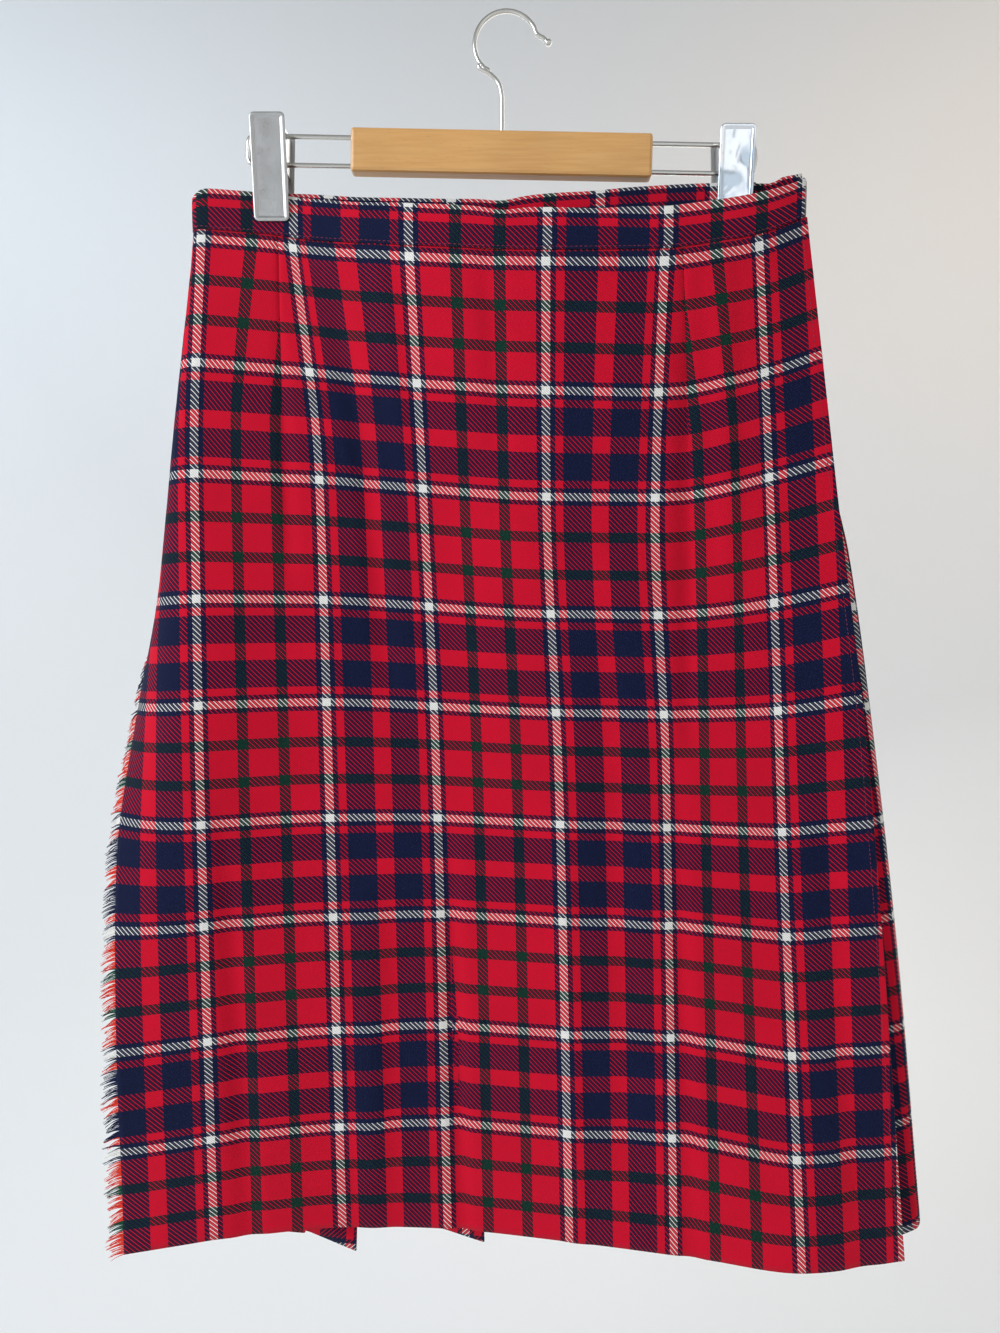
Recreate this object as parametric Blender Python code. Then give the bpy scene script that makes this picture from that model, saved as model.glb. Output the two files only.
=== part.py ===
"""A pleated tartan kilt, closed and hung flat from a wooden clip hanger.

The origin is where the hanger's hook bears on whatever holds it. +Z is up, the front apron faces -Y
and +X is at the viewer's right. Named sizes are in millimetres and become metres in to_metres().

The cloth is one long strip in life: over-apron, deep pleat, knife pleats, under-apron. Seen from
above it winds once round: fringed edge at the back left, left side, front, right fold, back, left
side again and then in under the front. Levels count down the cloth, 0 at the waist seam, 1 at the hem.
"""

import math

import bmesh
import bpy
from mathutils import Matrix

for leftover in list(bpy.data.objects):
    bpy.data.objects.remove(leftover, do_unlink=True)

MILLIMETRE = 0.001
SEAM_GAP = 0.3

# Cloth
CLOTH_THICK = 1.0
FOLD_RADIUS = 0.65
BAND_THICK = 2.2
BACK_BAND_THICK = 6.0
BAND_HEIGHT = 24.5

# The over-apron: one row for each lengthwise line of the check and for the two waist darts.
# "across" is measured on the flat cloth from the first white line. x and y are given at four levels.
LEVELS = (0.0, 0.23, 0.50, 1.0)
FRONT_LINES = (
    # name          across  x seam, hip, middle, hem              y seam, hip, middle, hem         z seam, hem
    ("first white",   0.0, (-188.0, -193.6, -193.5, -190.5), (-4.0, -11.0, -15.0, -18.0), (-129.1, -773.5)),
    ("left dart",    57.5, (-141.0, -140.0, -138.0, -133.0), (-4.0, -5.0, -3.5, -8.5), (-133.0, -773.0)),
    ("second white", 80.0, (-131.6, -117.7, -115.0, -109.0), (-4.3, -3.5, -1.0, -5.0), (-134.7, -773.5)),
    ("third white", 150.0, (-58.7, -52.2, -45.5, -39.0), (-20.0, -4.0, 3.0, 0.0), (-144.1, -778.0)),
    ("fourth white", 230.0, (23.1, 24.8, 33.5, 42.0), (-26.0, -10.0, -2.0, -6.0), (-148.7, -783.0)),
    ("fifth white", 300.0, (93.7, 92.8, 103.0, 110.5), (-24.0, -10.0, -3.0, -14.0), (-147.3, -787.0)),
    ("right dart",  321.0, (105.6, 115.0, 122.0, 131.0), (-22.0, -9.0, -3.5, -17.0), (-145.5, -788.0)),
    ("sixth white", 380.0, (152.0, 163.6, 175.0, 191.0), (-15.0, -8.0, -5.0, -26.0), (-136.0, -791.0)),
    ("right fold",  447.0, (183.5, 204.5, 229.0, 260.5), (-6.0, -6.0, -10.0, -16.0), (-122.6, -789.5)),
)
DARTS = (57.5, 321.0)
DART_REACH = 0.17
DART_DIP = 1.2
DART_HALF_WIDTH = 4.0
COLUMN_SHARES = (0.0, 0.33, 0.67)

# The left side, where the over-apron turns back round the pleats and its fringed edge swings forward
# lower down: how sharply it turns (per millimetre), which way it first heads, and its cut width.
SIDE_LEVELS = (0.0, 0.10, 0.23, 0.31, 0.42, 0.51, 0.62, 0.75, 1.0)
SIDE_BEND = (0.166, 0.100, 0.0610, 0.0500, 0.0290, 0.0175, 0.0075, 0.0020, 0.0)
SIDE_HEADING = (0.0, 0.0, 0.0, 0.0, -4.0, -6.0, -6.0, -5.0, -4.0)
SIDE_LEAD = (0.0, 1.0, 3.0, 4.0, 2.0, 0.0, 0.0, 0.0, 0.0)
SIDE_WIDTH = (51.2, 53.0, 56.0, 57.0, 58.5, 59.5, 60.0, 60.0, 60.0)
SIDE_STEPS = 12
EDGE_Z = (-131.0, -781.0)

# The deep pleat behind the right fold, then the turn at the right end of the back. The front layer
# ends, and the pleats' piece starts, that far short of the deep pleat's fold.
RIGHT_FOLD_RADIUS = 0.85
DEEP_JOIN = 10.0
DEEP_DEPTH = (26.0, 38.0, 50.0, 75.0)
DEEP_Y = (-3.9, -3.0, -2.5, -9.0)
RIGHT_END_LEVELS = (0.0, 0.23, 0.31, 0.51, 0.72, 1.0)
RIGHT_END_X = (184.3, 207.0, 221.0, 245.0, 266.0, 288.0)
RIGHT_END_INNER_Y = (-2.4, 0.5, 1.0, 2.0, 2.0, 2.0)
RIGHT_END_ROUND = 8.0

# The back: the level of its outer folds at the left end, the middle and the right end.
BACK_Y_LEFT = (5.8, 12.5, 16.0, 14.0)
BACK_Y_MIDDLE = (5.8, 20.0, 28.0, 32.0)
BACK_Y_RIGHT = (5.8, 12.0, 22.0, 33.0)
BACK_STACK = (5.2, 6.2, 7.0, 8.0)
WAIST_BOW = 9.0
WAIST_BOW_HALF = 122.0
BACK_LEFT_X = (-184.0, -240.0)
BACK_HEM_X = (-240.0, 150.0, 255.0, 276.0, 288.0)
BACK_HEM_Z = (-797.0, -797.0, -785.0, -779.5, -769.0)
PLEAT_DEPTH = (24.5, 38.0)
FIRST_PLEAT_X = 178.5
PLEAT_STEP = 25.9
PLEATS = (
    # where the inner fold meets the hem, and how far it swings forward there
    (283.0, 3.0),
    (245.0, 5.0),
    (207.0, 3.0),
    (170.0, 7.0),
    (132.0, 4.0),
    (95.0, 2.0),
    (57.0, 11.5),
    (21.0, 5.5),
    (-15.0, 12.0),
    (-58.0, 6.0),
    (-102.0, 10.5),
    (-137.0, 5.5),
    (-169.0, 3.0),
)

# The under-apron, inside the front.
UNDER_Y_LEFT = (-1.4, -5.0, -6.0, -8.0)
UNDER_Y_MIDDLE = (-1.4, 3.0, 6.0, 3.5)
UNDER_Y_RIGHT = (-1.4, 1.5, 4.0, 1.0)
UNDER_RIGHT_X = (153.5, 163.0, 174.0, 186.0)
UNDER_MIDDLE_SHARE = 0.4
UNDER_SHARES = (0.08, 0.17, 0.29, 0.42, 0.55, 0.68, 0.8, 0.9, 1.0)
UNDER_HEM_Z = -776.0
LEFT_TURN_ROUND = 8.0
LEFT_JOIN = 12.0

# The top edge of the bands at the back, and where the bands end.
BACK_TOP_X = (-195.0, -130.0, -30.0, 60.0, 126.0, 154.0, 190.0)
BACK_TOP_Z = (-105.0, -107.0, -110.0, -104.0, -100.6, -100.0, -98.0)
BACK_BAND_LEFT_X = -184.0
BACK_BAND_RIGHT_X = 182.7
BACK_BAND_FRONT_Y = 0.1
BACK_BAND_STEPS = 32
FRONT_BAND_SIDE_STEPS = 14
FRONT_BAND_TURN = ((182.0, -5.9), (184.2, -1.0), (184.2, 6.1))
UNDER_BAND_TURN_X = -187.1
UNDER_BAND_TURN_ROUND = 2.0
UNDER_BAND_TURN_DEEP = 3.8

# Fringe
FRINGE_LOCKS = 160
FRINGE_LENGTH = 8.0
FRINGE_DROOP = 2.5
FRINGE_STRIP = 1.2
FRINGE_LOCK_SHARE = 0.72
FRINGE_UNEVEN = 0.15
FRINGE_TIP_HALF = 0.3
EDGE_STEP = 2.0

# Hanger
HANGER_TILT = 1.1
BAR_SIZE = (185.0, 12.0, 26.0)
BAR_CENTRE = (-3.0, 0.0, -83.4)
BAR_ROUNDING = 2.0
WIRE_RADIUS = 1.5
WIRE_SPACING = 17.0
WIRE_REACH = 157.5
WIRE_BEND = 4.0
HOOK_WIRE_RADIUS = 1.4
HOOK_RADIUS = 19.6
HOOK_STARTS_AT = 235.0
HOOK_OPENS_AT = 18.0
HOOK_STEPS = 16
HOOK_NECK = ((-16.6, -30.0), (-10.0, -35.6), (-5.2, -40.6), (-3.2, -46.5), (-2.8, -56.0))
HOOK_FLICK = (22.6, -14.6)
HOOK_TIP = (25.4, -17.0)
HOOK_TIP_RADIUS = 2.2
HOOK_TIP_ANGLES = (-50, -25, 0, 25, 50, 78)

# Clips
CLIP_WIDTH = 21.6
CLIP_HEIGHT = 61.0
CLIP_PLATE = 1.2
CLIP_RIM_WIDTH = 2.4
CLIP_RIM_RISE = 0.7
CLIP_CORNER = 3.0
CLIP_SPREAD = 10.0
CLIP_ABOVE_BAR_CENTRE = 16.0
CLIP_EAR_INSET = 2.4
CLIP_EAR = (4.0, 29.0)
CLIP_EAR_THICK = 1.2
CLIP_PIN_BELOW_TOP = 16.2
CLIP_PIN_RADIUS = 2.4
CLIP_HOLE_RADIUS = 2.25
CUT_PAST = 10.0
CLIPS = (
    # name, x of the middle, y of the cloth's front and back faces between the jaws
    ("left", -144.0, -5.1, 6.1),
    ("right", 140.0, -2.5, 7.0),
)

BUTTON_X = -172.0
BUTTON_FROM_FOLD = 14.0
BUTTON_RADIUS = 8.5
BUTTON_THICK = 2.4


def material(name, colour, roughness, metallic=0.0):
    """A plain surface: its linear colour, roughness and whether it is metal."""
    made = bpy.data.materials.new(name)
    made.use_nodes = True
    shader = made.node_tree.nodes["Principled BSDF"]
    shader.inputs["Base Color"].default_value = (*colour, 1.0)
    shader.inputs["Roughness"].default_value = roughness
    shader.inputs["Metallic"].default_value = metallic
    made.diffuse_color = (*colour, 1.0)
    return made


RED_WOOL = material("tartan_wool", (0.52, 0.006, 0.018), 0.85)
DARK_WOOL = material("tartan_wool_inside", (0.22, 0.004, 0.014), 0.85)
FRINGE_WOOL = material("fringe_wool", (0.60, 0.03, 0.03), 0.9)
BEECH = material("waxed_beech", (0.60, 0.34, 0.12), 0.5)
STEEL = material("nickel_plated_steel", (0.72, 0.72, 0.70), 0.22, 1.0)
HORN = material("horn_button", (0.05, 0.03, 0.02), 0.35)


def curve(knots, values, at):
    """A smooth value between hand-set knots, a cubic that never overshoots them."""
    last = len(knots) - 2
    piece = 0
    while piece < last and at > knots[piece + 1]:
        piece += 1
    steps = [after - before for before, after in zip(knots, knots[1:])]
    rises = [(after - before) / step for before, after, step in zip(values, values[1:], steps)]

    def slope(knot):
        if knot == 0:
            return rises[0]
        if knot > last:
            return rises[last]
        before, after = rises[knot - 1], rises[knot]
        if before * after <= 0.0:
            return 0.0
        return 2.0 * before * after / (before + after)

    step = steps[piece]
    t = min(max((at - knots[piece]) / step, 0.0), 1.0)
    start = values[piece] * (2 * t**3 - 3 * t**2 + 1) + step * slope(piece) * (t**3 - 2 * t**2 + t)
    end = values[piece + 1] * (3 * t**2 - 2 * t**3) + step * slope(piece + 1) * (t**3 - t**2)
    return start + end


def mix(pair, level):
    """A straight run between the seam's value and the hem's."""
    return pair[0] + (pair[1] - pair[0]) * level


def to_metres(point):
    return tuple(value * MILLIMETRE for value in point)


def add_object(name, mesh_or_curve, surface):
    made = bpy.data.objects.new(name, mesh_or_curve)
    bpy.context.scene.collection.objects.link(made)
    made.data.materials.append(surface)
    return made


def cloth_wall(name, rows, thick, surface):
    """A wall of cloth: quads through rows of points, given its thickness half to each side."""
    mesh = bmesh.new()
    grid = [[mesh.verts.new(to_metres(point)) for point in row] for row in rows]
    for upper, lower in zip(grid, grid[1:]):
        for left in range(len(upper) - 1):
            mesh.faces.new((upper[left], lower[left], lower[left + 1], upper[left + 1]))
    data = bpy.data.meshes.new(name)
    mesh.to_mesh(data)
    mesh.free()
    wall = add_object(name, data, surface)
    solid = wall.modifiers.new("thickness", "SOLIDIFY")
    solid.thickness = thick * MILLIMETRE
    solid.offset = 0.0
    solid.use_even_offset = True
    return wall


# The front and the left side

ACROSS = [line[1] for line in FRONT_LINES]


def front_point(across, level):
    """A point of the over-apron between its first white line and the right fold."""
    xs = [curve(LEVELS, line[2], level) for line in FRONT_LINES]
    ys = [curve(LEVELS, line[3], level) for line in FRONT_LINES]
    zs = [mix(line[4], level) for line in FRONT_LINES]
    x = curve(ACROSS, xs, across)
    y = curve(ACROSS, ys, across)
    return x, y, curve(ACROSS, zs, across)


def darted_point(across, level):
    """The same, sunk a little where a dart's seam runs down from the waist."""
    x, y, z = front_point(across, level)
    if across in DARTS:
        y += DART_DIP * max(0.0, 1.0 - level / DART_REACH)
    return x, y, z


def side_point(distance, level):
    """A point past the first white line, that far along the cloth towards the fringed edge.

    The cloth runs straight for its lead, turns at an even rate until it heads back the other way,
    and from there runs straight again.
    """
    x, y, z = front_point(0.0, level)
    share = distance / curve(SIDE_LEVELS, SIDE_WIDTH, level)
    heading = math.radians(curve(SIDE_LEVELS, SIDE_HEADING, level))
    bend = max(curve(SIDE_LEVELS, SIDE_BEND, level), 1e-5)
    lead = min(curve(SIDE_LEVELS, SIDE_LEAD, level), distance)
    arc = min(distance - lead, (math.pi - heading) / bend)
    tail = distance - lead - arc
    turned = heading + bend * arc
    x -= math.cos(heading) * lead + (math.sin(turned) - math.sin(heading)) / bend - tail
    y += math.sin(heading) * lead + (math.cos(heading) - math.cos(turned)) / bend
    return x, y, z + (mix(EDGE_Z, level) - z) * share


def side_shares(count):
    return [index / count for index in range(count, 0, -1)]


def front_across():
    """Where the front's columns of points lie: two between lines, and one at each side of a dart."""
    spots = set()
    for before, after in zip(ACROSS, ACROSS[1:]):
        spots.update(before + (after - before) * share for share in COLUMN_SHARES)
    for dart in DARTS:
        spots.update((dart - DART_HALF_WIDTH, dart + DART_HALF_WIDTH))
    spots.add(ACROSS[-1])
    return sorted(spots)


def right_fold_points(level):
    """Round the right fold and back inside as the first layer of the deep pleat."""
    x, y, z = front_point(ACROSS[-1], level)
    depth = curve(LEVELS, DEEP_DEPTH, level)
    inner_y = curve(LEVELS, DEEP_Y, level)
    radius = RIGHT_FOLD_RADIUS
    last_x = x - depth + DEEP_JOIN
    return [
        (x + radius, y + radius, z),
        (x, y + 2 * radius, z),
        ((x + last_x) / 2, (y + 2 * radius + inner_y) / 2, z),
        (last_x, inner_y, z),
    ]


def apron_row(level):
    width = curve(SIDE_LEVELS, SIDE_WIDTH, level)
    row = [side_point(width * share, level) for share in side_shares(SIDE_STEPS)]
    row += [darted_point(across, level) for across in front_across()]
    return row + right_fold_points(level)


APRON_LEVELS = (0.0, 0.04, 0.08, 0.125, 0.17, 0.23, 0.30, 0.37, 0.44, 0.51, 0.58, 0.66, 0.75, 0.84, 0.92, 1.0)


def make_over_apron():
    rows = [apron_row(level) for level in APRON_LEVELS]
    cloth_wall("apron_front", rows, CLOTH_THICK, RED_WOOL)


# The back and the under-apron

def back_top(x):
    return curve(BACK_TOP_X, BACK_TOP_Z, x)


def back_seam(x):
    return back_top(x) - BAND_HEIGHT - SEAM_GAP


def waist_bow(x):
    """How far the back of the waist stands off between the two clips."""
    if abs(x) >= WAIST_BOW_HALF:
        return 0.0
    return WAIST_BOW * math.cos(0.5 * math.pi * x / WAIST_BOW_HALF) ** 2


def back_outer(x, level):
    """The y of the pleats' outer folds."""
    left_x = mix(BACK_LEFT_X, level)
    right_x = curve(RIGHT_END_LEVELS, RIGHT_END_X, level)
    place = min(max((x - left_x) / (right_x - left_x), 0.0), 1.0)
    heights = [curve(LEVELS, side, level) for side in (BACK_Y_LEFT, BACK_Y_MIDDLE, BACK_Y_RIGHT)]
    fade = max(0.0, 1.0 - level / LEVELS[1])
    return curve((0.0, 0.5, 1.0), heights, place) + waist_bow(x) * fade


def tight_fold(x, y, radius, outward):
    """Three points round a fold whose crest is at x; outward is the way that the crest points."""
    inside = x - outward * radius
    return [(inside, y), (x, y - radius), (inside, y - 2 * radius)]


def half_round(crest_x, width, from_y, to_y, outward):
    """Five points round a wide turn, from one y to the other."""
    middle = (from_y + to_y) / 2
    half = (to_y - from_y) / 2
    angles = [math.radians(angle) for angle in (-90, -45, 0, 45, 90)]
    return [
        (crest_x - outward * width * (1.0 - math.cos(angle)), middle + half * math.sin(angle))
        for angle in angles
    ]


def back_outline(level):
    """The back from the deep pleat, round the right end and through the knife pleats."""
    fold_x, fold_y, fold_z = front_point(ACROSS[-1], level)
    deep_x = fold_x - curve(LEVELS, DEEP_DEPTH, level)
    deep_y = curve(LEVELS, DEEP_Y, level)
    end_x = curve(RIGHT_END_LEVELS, RIGHT_END_X, level)
    inner_y = curve(RIGHT_END_LEVELS, RIGHT_END_INNER_Y, level)
    outer_y = back_outer(end_x, level)
    round_width = min(RIGHT_END_ROUND, (outer_y - inner_y) / 2)
    outline = [(deep_x + DEEP_JOIN - SEAM_GAP, deep_y)]
    outline += [(x, 2 * deep_y - y) for x, y in tight_fold(deep_x, deep_y, FOLD_RADIUS, -1.0)]
    outline += half_round(end_x, round_width, inner_y, outer_y, 1.0)
    depth = mix(PLEAT_DEPTH, level)
    stack = curve(LEVELS, BACK_STACK, level)
    for number, (hem_x, hem_swing) in enumerate(PLEATS):
        inner_x = mix((FIRST_PLEAT_X - PLEAT_STEP * number, hem_x), level)
        outer_x = inner_x - depth
        outer_fold_y = back_outer(outer_x, level)
        inner_fold_y = back_outer(inner_x, level) - stack - hem_swing * level**2
        outline += tight_fold(outer_x, outer_fold_y, FOLD_RADIUS, -1.0)
        outline += tight_fold(inner_x, inner_fold_y + 2 * FOLD_RADIUS, FOLD_RADIUS, 1.0)
    last_x = mix(BACK_LEFT_X, level) + LEFT_JOIN
    outline.append((last_x, back_outer(last_x, level)))
    return outline


def back_hem(x):
    return curve(BACK_HEM_X, BACK_HEM_Z, x)


def under_hem(_):
    return UNDER_HEM_Z


def hung(outline, hem, level):
    """Give an outline its heights between the waist seam and the hem, whose height depends on x."""
    return [(x, y, mix((back_seam(x), hem(x)), level)) for x, y in outline]


def under_outline(level):
    """The under-apron: round the left end, then to the right inside the front."""
    left_x = mix(BACK_LEFT_X, level)
    start_x = left_x + LEFT_JOIN - SEAM_GAP
    outer_y = back_outer(start_x, level)
    left_y = curve(LEVELS, UNDER_Y_LEFT, level)
    round_width = min(LEFT_TURN_ROUND, (outer_y - left_y) / 2)
    outline = [(start_x, outer_y)] + half_round(left_x, round_width, outer_y, left_y, -1.0)
    end_x = curve(LEVELS, UNDER_RIGHT_X, level)
    heights = (left_y, curve(LEVELS, UNDER_Y_MIDDLE, level), curve(LEVELS, UNDER_Y_RIGHT, level))
    for share in UNDER_SHARES:
        x = left_x + round_width + (end_x - left_x - round_width) * share
        outline.append((x, curve((0.0, UNDER_MIDDLE_SHARE, 1.0), heights, share)))
    return outline


BACK_LEVELS = (0.0, 0.08, 0.16, 0.23, 0.36, 0.50, 0.66, 0.83, 1.0)


def make_back():
    rows = [hung(back_outline(level), back_hem, level) for level in BACK_LEVELS]
    cloth_wall("pleats_back", rows, CLOTH_THICK, RED_WOOL)


def make_under_apron():
    rows = [hung(under_outline(level), under_hem, level) for level in BACK_LEVELS]
    cloth_wall("apron_under", rows, CLOTH_THICK, DARK_WOOL)


# The three lengths of the waistband

def band_rows(bottom_row):
    top = [(x, y, z + BAND_HEIGHT) for x, y, z in bottom_row]
    return [top, bottom_row]


def make_front_band():
    row = [side_point(SIDE_WIDTH[0] * share, 0.0) for share in side_shares(FRONT_BAND_SIDE_STEPS)]
    row += [front_point(across, 0.0) for across in front_across() if across < ACROSS[-1]]
    last_z = FRONT_LINES[-1][4][0]
    row += [(x, y, last_z) for x, y in FRONT_BAND_TURN]
    bottom = [(x, y, z + SEAM_GAP) for x, y, z in row]
    cloth_wall("waistband_front", band_rows(bottom), BAND_THICK, RED_WOOL)


def band_run(start_x, end_x, count):
    return [start_x + (end_x - start_x) * index / count for index in range(count + 1)]


def make_back_band():
    middle_y = BACK_BAND_FRONT_Y + BACK_BAND_THICK / 2
    run = band_run(BACK_BAND_RIGHT_X, BACK_BAND_LEFT_X, BACK_BAND_STEPS)
    bottom = [(x, middle_y + waist_bow(x), back_seam(x) + 2 * SEAM_GAP) for x in run]
    cloth_wall("waistband_back", band_rows(bottom), BACK_BAND_THICK, RED_WOOL)


def make_under_band():
    front_y = UNDER_Y_LEFT[0]
    back_y = front_y + UNDER_BAND_TURN_DEEP
    turn = half_round(UNDER_BAND_TURN_X, UNDER_BAND_TURN_ROUND, back_y, front_y, -1.0)
    outline = [(BACK_BAND_LEFT_X - SEAM_GAP, back_y)] + turn[1:]
    outline += under_outline(0.0)[5:]
    bottom = [(x, y, back_seam(x) + SEAM_GAP) for x, y in outline]
    cloth_wall("waistband_under", band_rows(bottom), BAND_THICK, RED_WOOL)


# The fringe down the over-apron's left edge

def edge_frame(level):
    """The apron's edge point and the way out of the edge, at one of the apron's own rows."""
    width = curve(SIDE_LEVELS, SIDE_WIDTH, level)
    edge = side_point(width, level)
    before = side_point(width - EDGE_STEP, level)
    return (*edge, edge[0] - before[0], edge[1] - before[1])


def fringe_frame(level):
    """The same between the rows, where the apron's wall is straight."""
    row = 0
    while row < len(APRON_LEVELS) - 2 and level > APRON_LEVELS[row + 1]:
        row += 1
    upper, lower = APRON_LEVELS[row], APRON_LEVELS[row + 1]
    share = (level - upper) / (lower - upper)
    pairs = zip(edge_frame(upper), edge_frame(lower))
    x, y, z, out_x, out_y = [mix(pair, share) for pair in pairs]
    length = math.hypot(out_x, out_y)
    return (x, y, z), (out_x / length, out_y / length)


def fringe_ring(level, out, half_thick, drop):
    """Two points, at the front and back of the cloth, that far out from its edge."""
    (x, y, z), (out_x, out_y) = fringe_frame(level)
    spot = (x + out_x * out, y + out_y * out)
    return [
        (spot[0] + side * half_thick * -out_y, spot[1] + side * half_thick * out_x, z - drop)
        for side in (1.0, -1.0)
    ]


def make_fringe():
    """A narrow strip beside the edge, with a short four-sided lock standing out of each step."""
    mesh = bmesh.new()
    half = CLOTH_THICK / 2
    levels = []
    for number in range(FRINGE_LOCKS):
        levels += [number / FRINGE_LOCKS, (number + FRINGE_LOCK_SHARE) / FRINGE_LOCKS]
    levels.append(1.0)
    strip = []
    for level in levels:
        inner = fringe_ring(level, SEAM_GAP, half, 0.0)
        outer = fringe_ring(level, SEAM_GAP + FRINGE_STRIP, half, 0.0)
        corners = (inner[0], outer[0], outer[1], inner[1])
        strip.append([mesh.verts.new(to_metres(point)) for point in corners])
    mesh.faces.new(strip[0])
    mesh.faces.new(reversed(strip[-1]))
    for number, (upper, lower) in enumerate(zip(strip, strip[1:])):
        for side in (0, 2, 3):
            after = (side + 1) % 4
            mesh.faces.new((upper[side], lower[side], lower[after], upper[after]))
        if number % 2:
            mesh.faces.new((upper[1], lower[1], lower[2], upper[2]))
            continue
        middle = (levels[number] + levels[number + 1]) / 2
        reach = FRINGE_LENGTH * (1.0 - FRINGE_UNEVEN + FRINGE_UNEVEN * math.sin(1.7 * number))
        ends = fringe_ring(middle, reach, FRINGE_TIP_HALF, FRINGE_DROOP)
        tip = [mesh.verts.new(to_metres(point)) for point in ends]
        mesh.faces.new((upper[1], tip[0], tip[1], upper[2]))
        mesh.faces.new((upper[1], lower[1], tip[0]))
        mesh.faces.new((lower[1], lower[2], tip[1], tip[0]))
        mesh.faces.new((upper[2], tip[1], lower[2]))
    bmesh.ops.recalc_face_normals(mesh, faces=mesh.faces)
    data = bpy.data.meshes.new("fringe")
    mesh.to_mesh(data)
    mesh.free()
    add_object("fringe", data, FRINGE_WOOL)


# The hanger

def tube(name, points, radius, surface, end_radii=()):
    """A wire through the points, with closed ends. Its last points may have radii of their own."""
    path = bpy.data.curves.new(name, "CURVE")
    path.dimensions = "3D"
    path.bevel_depth = radius * MILLIMETRE
    path.bevel_resolution = 2
    path.use_fill_caps = True
    line = path.splines.new("POLY")
    line.points.add(len(points) - 1)
    radii = [radius] * (len(points) - len(end_radii)) + list(end_radii)
    for spot, point, own_radius in zip(line.points, points, radii):
        spot.co = (*to_metres(point), 1.0)
        spot.radius = own_radius / radius
    return add_object(name, path, surface)


def tilted(x, y, z):
    """A place measured from the middle of the bar, turned with the hanger."""
    turn = math.radians(HANGER_TILT)
    middle_x, middle_y, middle_z = BAR_CENTRE
    return (
        middle_x + x * math.cos(turn) + z * math.sin(turn),
        middle_y + y,
        middle_z - x * math.sin(turn) + z * math.cos(turn),
    )


def make_bar():
    mesh = bmesh.new()
    bmesh.ops.create_cube(mesh, size=1.0)
    bmesh.ops.scale(mesh, vec=to_metres(BAR_SIZE), verts=mesh.verts)
    data = bpy.data.meshes.new("hanger_bar")
    mesh.to_mesh(data)
    mesh.free()
    bar = add_object("hanger_bar", data, BEECH)
    bar.location = to_metres(BAR_CENTRE)
    bar.rotation_euler = (0.0, math.radians(HANGER_TILT), 0.0)
    rounding = bar.modifiers.new("rounding", "BEVEL")
    rounding.width = BAR_ROUNDING * MILLIMETRE
    rounding.segments = 2


def make_side_wires():
    """Each clip's wire loop: out from the bar's end, round and back in below."""
    bar_end = BAR_SIZE[0] / 2 + SEAM_GAP
    half = WIRE_SPACING / 2
    centre = WIRE_REACH - WIRE_RADIUS - WIRE_BEND
    for name, side in (("left", -1.0), ("right", 1.0)):
        path = [(side * bar_end, 0.0, half)]
        for corner_z, first_angle in ((half - WIRE_BEND, 90.0), (WIRE_BEND - half, 0.0)):
            for step in range(4):
                angle = math.radians(first_angle - 30.0 * step)
                x = centre + WIRE_BEND * math.cos(angle)
                path.append((side * x, 0.0, corner_z + WIRE_BEND * math.sin(angle)))
        path.append((side * bar_end, 0.0, -half))
        tube("hanger_wire_" + name, [tilted(*spot) for spot in path], WIRE_RADIUS, STEEL)


def make_hook():
    """The neck, three quarters of a circle, a flick outwards and a ball on the end."""
    centre_z = HOOK_WIRE_RADIUS - HOOK_RADIUS
    arc = []
    for index in range(HOOK_STEPS + 1):
        angle = math.radians(mix((HOOK_STARTS_AT, HOOK_OPENS_AT), index / HOOK_STEPS))
        arc.append((HOOK_RADIUS * math.cos(angle), 0.0, centre_z + HOOK_RADIUS * math.sin(angle)))
    neck_top = tilted(0.0, 0.0, BAR_SIZE[2] / 2 + SEAM_GAP)
    neck = [(neck_top[0], 0.0, neck_top[2])] + [(x, 0.0, z) for x, z in reversed(HOOK_NECK)]
    rise = math.atan2(HOOK_TIP[1] - HOOK_FLICK[1], HOOK_TIP[0] - HOOK_FLICK[0])
    flick = [(HOOK_FLICK[0], 0.0, HOOK_FLICK[1])]
    radii = []
    for degrees in HOOK_TIP_ANGLES:
        along = HOOK_TIP_RADIUS * math.sin(math.radians(degrees))
        flick.append((HOOK_TIP[0] + along * math.cos(rise), 0.0, HOOK_TIP[1] + along * math.sin(rise)))
        radii.append(HOOK_TIP_RADIUS * math.cos(math.radians(degrees)))
    tube("hanger_hook", neck + arc + flick, HOOK_WIRE_RADIUS, STEEL, radii)


def rounded_plate(mesh, width, height, corner, thick):
    """A flat plate in x and z with round corners, its front at -thick and its back at 0."""
    outline = []
    for turn, (side_x, side_z) in enumerate(((1, 1), (-1, 1), (-1, -1), (1, -1))):
        for step in range(4):
            angle = math.radians(90.0 * turn + 30.0 * step)
            x = side_x * (width / 2 - corner) + corner * math.cos(angle)
            z = side_z * (height / 2 - corner) + corner * math.sin(angle)
            outline.append(mesh.verts.new(to_metres((x, -thick, z))))
    front = mesh.faces.new(outline)
    back = bmesh.ops.extrude_face_region(mesh, geom=[front])
    moved = [item for item in back["geom"] if isinstance(item, bmesh.types.BMVert)]
    bmesh.ops.translate(mesh, verts=moved, vec=to_metres((0.0, thick, 0.0)))
    bmesh.ops.recalc_face_normals(mesh, faces=mesh.faces)


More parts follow.
